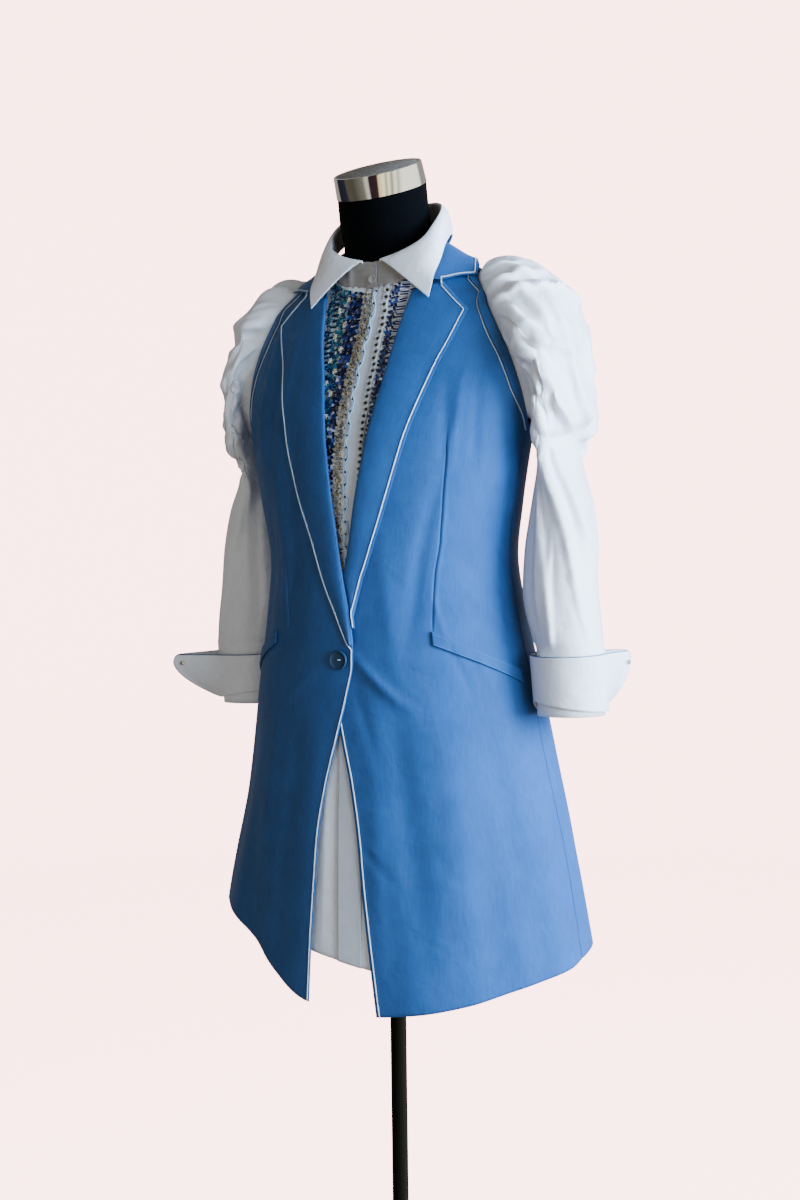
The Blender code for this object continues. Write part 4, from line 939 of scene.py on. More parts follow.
def armhole_loop(turn):
    """Angle and height on the body of the armhole's edge; turn is 0 at its top, then to the front.

    Equal turns are equal lengths of the front half and of the back half of the edge.
    """
    fine = np.linspace(SHOULDER_EDGE, UNDERARM, 400)
    turn = half_turn(turn)
    share = np.abs(turn) / np.pi
    halves = []
    for back in (False, True):
        body_angle = armhole_angle(fine, back)
        edge = dress_face(body_angle, fine)
        length = run_along(edge)
        height = np.interp(share * length[-1], length, fine)
        halves.append((armhole_angle(height, back), height))
    (front_angle, front_height), (back_angle, back_height) = halves
    to_front = turn >= 0
    return np.where(to_front, front_angle, back_angle), np.where(to_front, front_height, back_height)


def armhole_band_place(turn, across):
    """Angle and height of a place on the band round the armhole, 0 at the armhole's edge."""
    body_angle, height = armhole_loop(turn)
    radius = column(DRESS, 1, height)
    flat = np.stack([body_angle * radius, height], -1)
    along = np.roll(flat, -1, 0) - np.roll(flat, 1, 0)
    normal = unit(np.stack([along[:, 1], -along[:, 0]], -1))
    normal *= np.sign((normal * (flat - flat.mean(0))).sum(-1, keepdims=True))
    width = BAND_WIDTH * (0.35 + 0.65 * ease(height, UNDERARM, UNDERARM + 0.05))
    place = flat[None] + normal[None] * across[:, None, None] * width[None, :, None]
    return place[..., 0] / radius[None], place[..., 1]


def armhole_band_grid(side):
    """The band round an armhole, laid on the body."""
    angle, height = armhole_band_place(full_turn(180), np.linspace(0.02, 1.0, 9))
    return body_point(side * angle, height, SHIRTING_WALL + BAND_GAP)


def pocket_point(side, share, down):
    """Point of a pocket welt: share from its front end to the side, down across it."""
    z = POCKET_TOP - POCKET_DROP * share - WELT_DEPTH * down
    angle = np.radians(POCKET_START + POCKET_RUN * share)
    return body_point(side * angle, z, SUITING_WALL + LAID_GAP)


def sleeve_columns():
    """Angles round the sleeve: each pleat's crest and the valley behind it, then the underarm."""
    crests = np.radians(PLEATS)
    valleys = (crests[1:] + crests[:-1]) / 2
    gathered = np.sort(np.concatenate([crests, valleys]))
    below = np.linspace(gathered[-1], gathered[0] + 2 * np.pi, UNDERARM_COLUMNS + 2)[1:-1]
    height = np.concatenate([np.isin(gathered, crests) * 2.0 - 1.0, np.zeros(UNDERARM_COLUMNS)])
    return np.concatenate([gathered, below]), height


def on_grid(grid, row, col):
    """Values of a grid, closed along its columns, at places between its points."""
    row = np.clip(row, 0, len(grid) - 1.001)
    i, j = row.astype(int), np.floor(col).astype(int)
    down, over = (row - i)[:, None], (col - j)[:, None]
    beside = (j + 1) % grid.shape[1]
    j = j % grid.shape[1]
    return ((grid[i, j] * (1 - over) + grid[i, beside] * over) * (1 - down)
            + (grid[i + 1, j] * (1 - over) + grid[i + 1, beside] * over) * down)


def fold_moves(grid, turn, folds):
    """Moves of a sleeve's points for folds that run along curves on it.

    A fold's height falls across its curve as exp(-(distance / half width) squared), faster on
    the lower side. It rises from the curve's first end and fades to its last, and its crest
    leans down by a share of its height.
    """
    around = np.roll(grid, -1, 1) - np.roll(grid, 1, 1)
    normal = unit(np.cross(around, np.gradient(grid, axis=0)))
    normal *= np.sign((normal * (grid - grid.mean(1, keepdims=True))).sum())
    order = np.append(turn, turn[0] + 2 * np.pi)
    move = np.zeros_like(grid)
    for height, width, lean, line in folds:
        height, width = height * MM, width * MM
        keys = finer(np.array(line, float), 12, axis=0)
        bearing = (np.radians(keys[:, 0]) - turn[0]) % (2 * np.pi) + turn[0]
        col = np.interp(bearing, order, np.arange(len(order)))
        curve, crest = (on_grid(values, keys[:, 1] * ROWS_A_RING, col) for values in (grid, normal))
        below = unit(np.cross(np.gradient(curve, axis=0), crest))
        below *= -np.sign(below[:, 2].sum())
        reach = 2.6 * width
        near = ((grid > curve.min(0) - reach) & (grid < curve.max(0) + reach)).all(-1)
        offset = grid[near][:, None] - curve[None]
        distance = np.linalg.norm(offset, axis=-1)
        nearest = distance.argmin(1)
        pick = np.arange(len(nearest)), nearest
        off = (offset[pick] * below[nearest]).sum(-1)
        half = width * (1 - 0.32 * np.tanh(2 * off / width))
        share = nearest / (len(curve) - 1)
        size = (0.4 + 0.6 * ease(share, 0, 0.18)) * (1 - ease(share, 0.68, 1.0))
        raised = height * size * np.exp(-(distance[pick] / half) ** 2)
        move[near] += (normal[near] + lean * below[nearest]) * raised[:, None]
    rings = np.arange(len(grid))[:, None, None] / ROWS_A_RING
    return move * ease(rings, 0.0, 0.9) * (1 - ease(rings, len(SLEEVE) - 1.4, len(SLEEVE) - 0.8))


def sleeve_rings(side):
    """Coarse rings of a sleeve from its armhole seam to the cuff."""
    turn, pleat = sleeve_columns()
    seam = dress_point(*armhole_loop(turn))
    seam = seam + unit(seam.mean(0) - seam) * SLEEVE_SEAM_GAP
    top, bottom = seam[np.argmax(seam[:, 2])], seam[np.argmin(seam[:, 2])]
    half_depth = np.ptp(seam[:, 1]) / 2
    plain = (top + bottom) / 2 + np.cos(turn)[:, None] * (top - bottom) / 2
    plain[:, 1] = -np.sin(turn) * half_depth
    rings = [seam]
    foot = SLEEVE[-1, 1]
    for number, row in enumerate(SLEEVE, 1):
        outer_x, outer_z, inner_x, inner_z, half_depth, pleat_height = row
        pleat_height = pleat_height * np.interp(number, (1, 3, 8, 11), (1.0, 0.4, 0.12, 0.05))
        outer_x = outer_x + CUFF_ROOM[side] * (1 - ease(outer_z, 0.99, 1.13)) * ease(outer_z, 0.96, 0.99)
        tuck = PUFF_TUCK[side] * ease(outer_z, 1.11, 1.2) * ease(number, 1, 5)
        outer = np.array([outer_x - tuck, 0, outer_z])
        inner = np.array([inner_x - 0.8 * tuck, 0, inner_z])
        middle, reach = (outer + inner) / 2, (outer - inner) / 2
        size = 1 + pleat * pleat_height / np.linalg.norm(reach)
        ring = middle + np.cos(turn)[:, None] * reach * size[:, None]
        swing = ARM_SWING[side] * ease(SHOULDER_EDGE - ring[:, 2], 0.12, SHOULDER_EDGE - foot)
        ring[:, 1] = swing - np.sin(turn) * half_depth * size
        ring += (seam - plain) * (1 - ease(number, 0, PUFF_RINGS))
        rings.append(ring)
    rings = np.array(rings)
    rings[..., 0] *= side
    return rings


def sleeve_grid(side):
    """Fine sleeve: the coarse rings made smooth, then its folds raised along their normals."""
    coarse, _ = sleeve_columns()
    grid = finer(finer(sleeve_rings(side), COLUMNS_A_PLEAT, axis=1, closed=True), ROWS_A_RING, axis=0)
    turn = np.interp(np.arange(grid.shape[1]) / COLUMNS_A_PLEAT, np.arange(len(coarse) + 1),
                     np.append(coarse, coarse[0] + 2 * np.pi))
    behind = [(0.8 * height, width * 1.1, lean,
               [(-0.97 * max(degrees, 4) - 8, ring + 0.3) for degrees, ring in line])
              for height, width, lean, line in SLEEVE_FOLDS[LEFT]]
    return grid + fold_moves(grid, turn, SLEEVE_FOLDS[side] + tuple(behind))


def cuff_middle(side):
    """Middle of a sleeve's foot and its cuff, brought down to the floor."""
    outer_x, inner_x = SLEEVE[-1, 0], SLEEVE[-1, 2]
    return np.array([side * (outer_x + inner_x) / 2, ARM_SWING[side], 0])


def cuff_outline(wing, radius, columns, short=0.0):
    """Level outline of a cuff: round the arm, its two ends running out side by side as a wing.

    The second end stops short of the first by a given length.
    """
    far = radius + wing
    touch = np.arccos(radius / far)
    straight = np.sqrt(far ** 2 - radius ** 2)
    length = straight * 2 + radius * (2 * np.pi - 2 * touch)
    start = WING_GAP * radius
    along = np.linspace(start, length - start - short, columns)
    angle = touch + (along - straight) / radius
    round_arm = radius * np.stack([np.cos(angle), np.sin(angle)], -1)
    tangent = radius * np.array([np.cos(touch), np.sin(touch)])
    tip = np.array([far, 0])
    share = np.clip(along / straight, 0, 1)[:, None]
    share_back = np.clip((length - along) / straight, 0, 1)[:, None]
    first = tip * (1 - share) + tangent * share
    last = tip * (1 - share_back) + tangent * np.array([1, -1]) * share_back
    points = np.where((along < straight)[:, None], first, round_arm)
    points = np.where((along > length - straight)[:, None], last, points)
    apart = np.where(along < length / 2, 1, -1) * WING_APART * (1 - np.minimum(share, share_back)[:, 0])
    points[:, 1] += np.where(np.minimum(along, length - along) < straight, apart, 0)
    return points


def cuff_grid(side):
    """Turned-back cuff from its foot up; the wing grows with the height to a rounded tip.

    The front of its foot rises towards the body, and its front end is shorter than its back one.
    """
    turn_x, turn_y = np.cos(WING_TURN[side]), np.sin(WING_TURN[side])
    top = CUFF_TOP[side]
    grid = []
    for share in np.linspace(0, 1, 33):
        reach = CUFF_WING[side] * (1 - (1 - share) ** 1.9) + 0.0015
        radius = CUFF_RADIUS + CUFF_WIDER[side] + CUFF_FLARE * share
        outline = cuff_outline(reach, radius, 221, FRONT_END_SHORT[side] * share)
        run = run_along(outline)
        from_tip = np.minimum(run, run[-1] - run)
        corner = np.clip(TIP_ROUND - from_tip, 0, TIP_ROUND)
        drop = TIP_ROUND - np.sqrt(TIP_ROUND ** 2 - corner ** 2)
        x = outline[:, 0] * turn_x - outline[:, 1] * turn_y
        y = outline[:, 0] * turn_y + outline[:, 1] * turn_x
        inner, front = np.clip(0.5 - x / radius / 2, 0, 1), np.clip(-y / radius, 0, 1)
        foot = CUFF_FOOT + CUFF_SLANT * inner * np.clip(2 * front, 0, 1)
        z = foot + (top - foot - drop - CUFF_DIP * front * share) * share
        grid.append(np.stack([side * x, y, z], -1) + cuff_middle(side))
    return np.array(grid)


def form_grid():
    """Rings of the form's torso and leaning neck, up from its foot."""
    turn = full_turn(96)
    coarse = np.concatenate([FORM[:3, 0], np.linspace(FORM[2, 0], FORM[8, 0], 8)[1:], FORM[9:, 0]])
    rings = [oval(FORM, turn, np.full_like(turn, height)) for height in coarse]
    for count, ring in enumerate(rings[-NECK_TAPER:], 1):
        lean = np.tan(NECK_LEAN) * count / (NECK_TAPER + 1)
        ring[:, 2] += (ring[:, 1] - ring[:, 1].mean()) * lean * (count / NECK_TAPER) ** 2
        ring[:, 0] *= 1 + NECK_WIDER * (1 - count / NECK_TAPER)
    radius, middle, top = NECK_TOP
    ahead = -radius * np.cos(turn)
    rings.append(np.stack([radius * np.sin(turn), middle + ahead * np.cos(NECK_LEAN),
                           top + ahead * np.sin(NECK_LEAN)], -1))
    return finer(np.array(rings), 4, axis=0)


def turned_mesh(profile, steps):
    """Points and faces of a profile of radius and height, bottom to top, turned about +Z."""
    radius, height = np.array(profile).T
    grid = revolved(radius[1:-1], height[1:-1], steps)
    points = np.concatenate([grid.reshape(-1, 3), [(0, 0, height[0]), (0, 0, height[-1])]])
    around = np.arange(steps)
    beside = (around + 1) % steps
    foot = len(grid) * steps
    last = foot - steps
    faces = grid_faces(len(grid), steps, closed=True).tolist()
    faces += np.stack([beside, around, np.full(steps, foot)], -1).tolist()
    faces += np.stack([last + around, last + beside, np.full(steps, foot + 1)], -1).tolist()
    return points, faces


def turned_piece(name, profile, steps, axes, place, maker, replaces=(), sharp=50.0):
    """Piece turned from a profile in millimetres, with its axis along the last of its axes."""
    points, faces = turned_mesh(MM * np.array(profile), steps)
    piece(name, points @ axes.T + place, faces, maker, replaces, sharp=sharp)


def frames_on(shape, u, v, lift, middle):
    """Places on a surface with their axes across, along and out of it."""
    points, out = laid_on(shape, u, v, lift, middle)
    across = unit(shape(u + 1e-4, v) - shape(u - 1e-4, v))
    across = unit(across - (across * out).sum(-1, keepdims=True) * out)
    return points, across, np.cross(out, across), out


def turned_frames(frames, turn, tilt):
    """Frames turned about their own out axis, then tipped over by small shares."""
    points, across, along, out = frames
    cos, sin = np.cos(turn)[..., None], np.sin(turn)[..., None]
    across, along = across * cos + along * sin, along * cos - across * sin
    out = unit(out + across * tilt[..., :1] + along * tilt[..., 1:])
    across = unit(across - (across * out).sum(-1, keepdims=True) * out)
    return points, across, np.cross(out, across), out


def joined(name, model, frames, sizes, tints, maker):
    """One mesh of many copies of a small closed model, each on its own frame."""
    model_points, model_faces = model
    places, across, along, out = (part[:, None] for part in frames)
    local = model_points[None] * np.array(sizes)
    points = places + (local[..., 0:1] * across + local[..., 1:2] * along + local[..., 2:3] * out)
    step, count = len(model_points), len(places)
    faces = [[corner + first * step for corner in face] for first in range(count) for face in model_faces]
    tints = np.repeat(np.broadcast_to(tints, (count, 3)), step, axis=0)
    tints = np.concatenate([tints, np.ones((len(tints), 1))], 1)
    piece(name, points.reshape(-1, 3), faces, maker, tints=tints, sharp=40.0)


def bugle_model():
    """Six-sided tube of unit length along the across axis."""
    turn = full_turn(6)
    ring = np.stack([0 * turn, np.cos(turn), np.sin(turn)], -1)
    points = np.concatenate([ring - [0.5, 0, 0], ring + [0.5, 0, 0]])
    sides = [(i, (i + 1) % 6, 6 + (i + 1) % 6, 6 + i) for i in range(6)]
    return points, sides + [tuple(range(6))[::-1], tuple(range(6, 12))]


def stitch_model():
    """Thin spindle along the across axis, for one stitch of thread."""
    points = np.array([(-0.5, 0, 0), (0.5, 0, 0), (0, -1, 0), (0, 1, 0), (0, 0, -1), (0, 0, 1)], float)
    ring = (2, 4, 3, 5)
    faces = [(0, ring[(i + 1) % 4], ring[i]) for i in range(4)]
    faces += [(1, ring[i], ring[(i + 1) % 4]) for i in range(4)]
    return points, faces


def stitches(name, shape, lines, middle):
    """Rows of stitches along lines of u and v on a surface, evenly spaced in metres."""
    parts = []
    for u, v in lines:
        points, out = laid_on(shape, u, v, STITCH_LIFT, middle)
        points, out = along_path(points, STITCH_PITCH, out)
        across = unit(np.gradient(points, axis=0))
        out = unit(out - (out * across).sum(-1, keepdims=True) * across)
        parts.append((points, across, np.cross(out, across), out))
    frames = [np.concatenate(group) for group in zip(*parts)]
    joined(name, stitch_model(), frames, STITCH_SIZE, (1, 1, 1), pale_thread)


def band_edge(ends, z):
    """Distance of a band's edge from the centre: one value below, another at the collar."""
    return ends[0] + (ends[1] - ends[0]) * ease(z, *BANDS_SPREAD)


def bead_field(left, right, spacing, jitter, seed):
    """Staggered rows of places between two edges of the beadwork, a little uneven."""
    rng = np.random.default_rng(seed)
    rows = np.arange(BEADS_LOW, BEADS_TOP, spacing * 0.87)
    cols = np.arange(min(left), max(right) - spacing * 0.25, spacing)
    x, z = np.meshgrid(cols, rows)
    x = x + spacing / 2 * (np.arange(len(rows)) % 2)[:, None]
    x, z = x.ravel(), z.ravel()
    inside = (x > band_edge(left, z)) & (x < band_edge(right, z))
    x, z = x[inside], z[inside]
    x = x + rng.normal(size=x.size) * jitter
    z = z + rng.normal(size=z.size) * jitter
    return x, z, rng


def seen_shirt(x, z):
    """True where the shirt front is open to view between the two rolled lapels."""
    left, right = front_edge(LEFT, z), front_edge(RIGHT, z)
    open_left = np.where(z > LAPEL_FOOT[LEFT], np.maximum(left, SEEN_LEAST - right), left)
    return (x < open_left + SEEN_MARGIN) & (x > -right - SEEN_MARGIN)


def palette(rng, count, codes, shares):
    """Colours drawn for a number of beads from sRGB codes and their shares, each a little uneven."""
    colours = np.array([linear(code) for code in codes])
    chosen_rows = rng.choice(len(codes), size=count, p=np.array(shares) / np.sum(shares))
    return colours[chosen_rows] * rng.uniform(0.75, 1.2, size=(count, 1))


def beads(name, model, x, z, size, tints, turn, tilt, lift):
    """Beads sewn on the shirt front at distances x and heights z."""
    keep = seen_shirt(x, z)
    x, z = x[keep], z[keep]
    near_edge = PLACKET_HALF - 0.0004, PLACKET_HALF + 0.0004
    on_placket = 1 - ease(np.abs(x - PLACKET_MIDDLE), *near_edge)
    frames = frames_on(shirt_point, x, z, lift + PLACKET_FACE * on_placket, BODY_AXIS)
    frames = turned_frames(frames, turn[keep], tilt[keep])
    joined(name, model, frames, size, tints[keep], foil_and_glass)


def sequin_band(name, left, right, spacing, radius, codes, shares, seed, lean):
    """Overlapping cupped sequins in staggered rows, each tipped its own way by a share of lean."""
    x, z, rng = bead_field(left, right, spacing, SEQUIN_JITTER, seed)
    tilt = rng.normal(size=(x.size, 2)) * lean + np.array([0.0, SEQUIN_DROOP])
    tints = palette(rng, x.size, codes, shares)
    beads(name, turned_mesh(SEQUIN_PROFILE, 9), x, z, (radius,) * 3, tints,
          rng.uniform(0, 6.3, x.size), tilt, SEQUIN_LIFT)


def bead_band(name, left, right, spacing, radius, codes, shares, seed):
    """Seed beads packed in rows."""
    x, z, rng = bead_field(left, right, spacing, BEAD_JITTER, seed)
    tints = palette(rng, x.size, codes, shares)
    beads(name, turned_mesh(BEAD_PROFILE, 6), x, z, (radius,) * 3, tints,
          rng.uniform(0, 6.3, x.size), rng.normal(size=(x.size, 2)) * 0.1, BEAD_LIFT)


def bugle_ladder(name, middle, length, spacing, radius, codes, seed, slant):
    """A ladder of short glass tubes, light and dark in turn."""
    z = np.arange(BEADS_LOW, BEADS_TOP, spacing)
    rng = np.random.default_rng(seed)
    x = middle + rng.normal(size=z.size) * BUGLE_JITTER
    colours = np.array([linear(code) for code in codes])[np.arange(z.size) % len(codes)]
    turn = slant + rng.normal(size=z.size) * 0.08
    beads(name, bugle_model(), x, z, (length, radius, radius), colours, turn,
          rng.normal(size=(z.size, 2)) * 0.03, BUGLE_LIFT)


def ribbon_path(middles, phase, lift):
    """Wavy cord that sways as a sine round its middle line, which drifts out to the collar."""
    z = np.arange(BEADS_LOW, BEADS_TOP, 0.0008)
    x = band_edge(middles, z) + RIBBON_SWAY * np.sin(2 * np.pi * z / RIBBON_WAVE + phase)
    keep = seen_shirt(x, z)
    x, z = x[keep], z[keep]
    return laid_on(shirt_point, x, z, np.full(x.shape, lift), BODY_AXIS)


def linear(code):
    """Linear colour of an sRGB hex value."""
    value = np.array([int(code[i:i + 2], 16) for i in (0, 2, 4)]) / 255
    return tuple(np.where(value <= 0.04045, value / 12.92, ((value + 0.055) / 1.055) ** 2.4))


def connect(tree, node, inputs):
    """Links or sets inputs of a node."""
    for name, value in inputs.items():
        if isinstance(value, bpy.types.NodeSocket):
            tree.links.new(value, node.inputs[name])
        else:
            node.inputs[name].default_value = value


def add(tree, kind, inputs=None, **settings):
    """Adds a shader node, sets its properties, and links or sets its inputs."""
    made = tree.nodes.new("ShaderNode" + kind)
    for name, value in settings.items():
        setattr(made, name, value)
    connect(tree, made, inputs or {})
    return made


def finish(maker):
    """The material that a function describes: named for it, and made once."""
    material = bpy.data.materials.get(maker.__name__)
    if material is None:
        material = bpy.data.materials.new(maker.__name__)
        material.use_nodes = True
        maker(material.node_tree, material.node_tree.nodes["Principled BSDF"])
    return material


def flat(code):
    """An sRGB hex value as a socket's colour."""
    return (*linear(code), 1.0)


def chosen(name):
    """A colour chosen in the panel, as red, green, blue and alpha."""
    return (*getattr(bpy.context.scene.dress_colours, name), 1.0)


def shaded(colour, share):
    """A colour made darker or lighter by a share."""
    return tuple(min(part * share, 1.0) for part in colour[:3]) + (1.0,)


def cloth_pattern(tree, shader, colour, thread, mottle, weave_depth, crush_size, crush_depth,
                  ribs_along="X"):
    """Cloth's fine ribs, its slightly uneven dye and the soft crush left by handling.

    Ribs follow the cut of the cloth through its flat coordinates in metres; the crush and the
    dye are noise in the object's own space, so that they run on across seams.
    """
    cut = add(tree, "UVMap", uv_map="cloth").outputs["UV"]
    place = add(tree, "TexCoord").outputs["Object"]
    ribs = add(tree, "TexWave", {"Vector": cut, "Scale": WAVES_A_UNIT / thread, "Distortion": 0.6,
                                 "Detail": 1.0, "Detail Scale": 0.4}, bands_direction=ribs_along)
    slubs = add(tree, "Mapping", {"Vector": cut, "Scale": (420.0, 60.0, 1.0)})
    slub = add(tree, "TexNoise", {"Vector": slubs.outputs[0], "Scale": 1.0, "Detail": 3.0})
    cloudy = add(tree, "TexNoise", {"Vector": place, "Scale": 22.0, "Detail": 4.0, "Roughness": 0.55})
    uneven = add(tree, "Math", {0: slub.outputs["Fac"], 1: cloudy.outputs["Fac"]}, operation="ADD")
    dye = add(tree, "MapRange", {"Value": uneven.outputs[0], "From Min": 0.7, "From Max": 1.3})
    tone = add(tree, "Mix", {"Factor": dye.outputs[0], "A": shaded(colour, 1 - mottle),
                             "B": shaded(colour, 1 + mottle)}, data_type="RGBA")
    crush = add(tree, "TexNoise", {"Vector": place, "Scale": 1 / crush_size, "Detail": 3.0,
                                   "Distortion": 0.4})
    soft = add(tree, "Bump", {"Height": crush.outputs["Fac"], "Distance": crush_depth})
    fine = add(tree, "Bump", {"Height": ribs.outputs["Fac"], "Distance": weave_depth,
                              "Normal": soft.outputs["Normal"]})
    connect(tree, shader, {"Base Color": tone.outputs["Result"], "Normal": fine.outputs["Normal"]})


def fine_grain(tree, shader, scale, depth, detail=1.0):
    """Fine bumps of noise in the object's own space: how many to a metre, and how deep."""
    place = add(tree, "TexCoord").outputs["Object"]
    grain = add(tree, "TexNoise", {"Vector": place, "Scale": scale, "Detail": detail})
    bump = add(tree, "Bump", {"Height": grain.outputs["Fac"], "Distance": depth})
    connect(tree, shader, {"Normal": bump.outputs["Normal"]})


def clouds(tree, shader, scale, dark, light):
    """Soft clouds of a dark and a light colour, how many to a metre."""
    place = add(tree, "TexCoord").outputs["Object"]
    cloud = add(tree, "TexNoise", {"Vector": place, "Scale": scale, "Detail": 3.0})
    tone = add(tree, "Mix", {"Factor": cloud.outputs["Fac"], "A": dark, "B": light}, data_type="RGBA")
    connect(tree, shader, {"Base Color": tone.outputs["Result"]})


def wool_twill(tree, shader):
    """Wool blend twill, piece dyed and pressed: a dry blue face with a short bright nap."""
    connect(tree, shader, {"Roughness": 0.6, "Specular IOR Level": 0.42, "Sheen Weight": 0.01,
                           "Sheen Roughness": 0.5})
    cloth_pattern(tree, shader, chosen("suiting"), 0.0011, 0.13, 0.00005, 0.03, 0.0011, "DIAGONAL")


def satin_cotton(tree, shader):
    """Satin-faced cotton: smooth, cool white, with a soft gleam along its folds."""
    connect(tree, shader, {"Roughness": 0.32, "Specular IOR Level": 0.6, "Sheen Weight": 0.04,
                           "Sheen Roughness": 0.3})
    cloth_pattern(tree, shader, chosen("shirting"), 0.0009, 0.04, 0.00003, 0.018, 0.0016)


def silk_ribbon(tree, shader):
    """Heavy satin ribbon: grey white, gleaming along its length."""
    connect(tree, shader, {"Roughness": 0.3, "Specular IOR Level": 0.6})
    cloth_pattern(tree, shader, chosen("placket"), 0.0008, 0.05, 0.00003, 0.012, 0.0006)


def voile_with_painted_shade(tree, shader):
    """Thin voile drawn over the black form: grey, warm and gathered; its grey is partly the dark form
    showing through and partly painted shade under the collar.
    """
    connect(tree, shader, {"Roughness": 0.6, "Specular IOR Level": 0.3})
    # 8f8b87 is darker than white voile: partly the black form through it, partly painted shade
    cloth_pattern(tree, shader, flat("8f8b87"), 0.001, 0.16, 0.00003, 0.01, 0.0008)


def clouded_shell(tree, shader):
    """Thin shell button over grey voile: smoky, half clear and polished."""
    connect(tree, shader, {"Roughness": 0.22, "IOR": 1.53})
    clouds(tree, shader, 300.0, flat("77736f"), flat("b9b5ae"))


def blue_thread(tree, shader):
    """Blue polyester thread of the pockets: as the cloth, a shade lighter."""
    connect(tree, shader, {"Base Color": flat("3a6ea6"), "Roughness": 0.5, "Specular IOR Level": 0.3})
    fine_grain(tree, shader, 2200.0, 0.00005)


def cotton_lawn(tree, shader):
    """Thin cotton under the cuff: warm white with a fine rib."""
    connect(tree, shader, {"Roughness": 0.8, "Specular IOR Level": 0.25})
    cloth_pattern(tree, shader, flat("e6ddcb"), 0.003, 0.06, 0.0002, 0.02, 0.0006)


def rayon_cord(tree, shader):
    """Twisted rayon cord: bright white plies with a gleam, and painted shade of dark blue in the grooves
    between them.
    """
    crest = add(tree, "Attribute", attribute_name="tint").outputs["Fac"]
    # painted shade: where the crest share is low, in the grooves between the plies, the colour goes to dark
    # blue
    bright = add(tree, "MapRange", {"Value": crest, "From Min": 0.15, "From Max": 0.6})
    ply = add(tree, "Mix", {"Factor": bright.outputs[0], "A": flat("3d6595"), "B": chosen("cord")},
              data_type="RGBA")
    connect(tree, shader, {"Base Color": ply.outputs["Result"], "Roughness": 0.38,
                           "Specular IOR Level": 0.5})
    fine_grain(tree, shader, 1600.0, 0.0001)


def pale_thread(tree, shader):
    """Pale blue polyester thread: thin and a little glossy."""
    connect(tree, shader, {"Base Color": chosen("thread"), "Roughness": 0.42, "Specular IOR Level": 0.4})
    fine_grain(tree, shader, 2200.0, 0.00005)


def grey_piping(tree, shader):
    """Grey blue cotton piping in the cuffs' edges: matt and dark against the white."""
    connect(tree, shader, {"Base Color": chosen("piping"), "Roughness": 0.7})
    fine_grain(tree, shader, 1400.0, 0.00006)


def foil_and_glass(tree, shader):
    """Foiled sequins and lined glass: each its own colour, with a few white sequins as painted glints;
    mirror-like with soft glints.
    """
    tint = add(tree, "Attribute", attribute_name="tint").outputs["Color"]
    connect(tree, shader, {"Base Color": tint, "Metallic": 0.6, "Roughness": 0.2, "Coat Weight": 0.4,
                           "Coat Roughness": 0.06})
    fine_grain(tree, shader, 900.0, 0.0001)


def dyed_resin(tree, shader):
    """Polyester resin dyed through: slate blue with a cloudy depth and a waxed polish."""
    connect(tree, shader, {"Roughness": 0.42, "IOR": 1.54, "Specular IOR Level": 0.35,
                           "Coat Weight": 0.06, "Coat Roughness": 0.3})
    clouds(tree, shader, 260.0, shaded(chosen("button"), 0.7), shaded(chosen("button"), 1.35))


def black_jersey(tree, shader):
    """Stretch jersey drawn over the form: black, fine ribs, almost no gleam."""
    place = add(tree, "TexCoord").outputs["Object"]
    squeezed = add(tree, "Mapping", {"Vector": place, "Scale": (900.0, 900.0, 300.0)})
    knit = add(tree, "TexNoise", {"Vector": squeezed.outputs[0], "Scale": 1.0, "Detail": 2.0})
    tone = add(tree, "Mix", {"Factor": knit.outputs["Fac"], "A": shaded(chosen("form_cover"), 0.6),
                             "B": shaded(chosen("form_cover"), 1.6)}, data_type="RGBA")
    bump = add(tree, "Bump", {"Height": knit.outputs["Fac"], "Distance": 0.0002})
    connect(tree, shader, {"Base Color": tone.outputs["Result"], "Normal": bump.outputs["Normal"],
                           "Roughness": 0.85, "Specular IOR Level": 0.05, "Sheen Weight": 0.004})


def nickel_plate(tree, shader):
    """Polished nickel plate: mirror bright, with faint handling haze."""
    place = add(tree, "TexCoord").outputs["Object"]
    haze = add(tree, "TexNoise", {"Vector": place, "Scale": 60.0, "Detail": 3.0})
    rough = add(tree, "MapRange", {"Value": haze.outputs["Fac"], "To Min": 0.03, "To Max": 0.1})
    connect(tree, shader, {"Base Color": flat("ddd8d1"), "Metallic": 1.0, "Roughness": rough.outputs[0]})


def speckled_moulding(tree, shader):
    """Moulded granite-look plastic: dark and light grey specks under a dull skin."""
    place = add(tree, "TexCoord").outputs["Object"]
    grain = add(tree, "TexVoronoi", {"Vector": place, "Scale": 520.0})
    specks = add(tree, "TexNoise", {"Vector": place, "Scale": 700.0, "Detail": 2.0})
    mixed = add(tree, "Math", {0: grain.outputs["Distance"], 1: specks.outputs["Fac"]},
                operation="MULTIPLY")
    ramp = add(tree, "MapRange", {"Value": mixed.outputs[0], "From Min": 0.08, "From Max": 0.42})
    tone = add(tree, "Mix", {"Factor": ramp.outputs[0], "A": flat("2b2829"), "B": flat("8f8a86")},
               data_type="RGBA")
    bump = add(tree, "Bump", {"Height": mixed.outputs[0], "Distance": 0.0001})
    connect(tree, shader, {"Base Color": tone.outputs["Result"], "Normal": bump.outputs["Normal"],
                           "Roughness": 0.55, "Specular IOR Level": 0.35})


def powder_coat(tree, shader):
    """Black powder coat on steel: an even satin with a slight orange peel."""
    connect(tree, shader, {"Base Color": chosen("stand"), "Roughness": 0.45, "Specular IOR Level": 0.12})
    fine_grain(tree, shader, 700.0, 0.00015, 2.0)


def seamless_paper(tree, shader):
    """Pale warm paper lit evenly from within: flat and almost white, with no gleam."""
    connect(tree, shader, {"Base Color": flat("bcb5b5"), "Roughness": 1.0, "Specular IOR Level": 0.0,
                           "Emission Color": flat(PAPER_COLOUR), "Emission Strength": PAPER_GLOW})


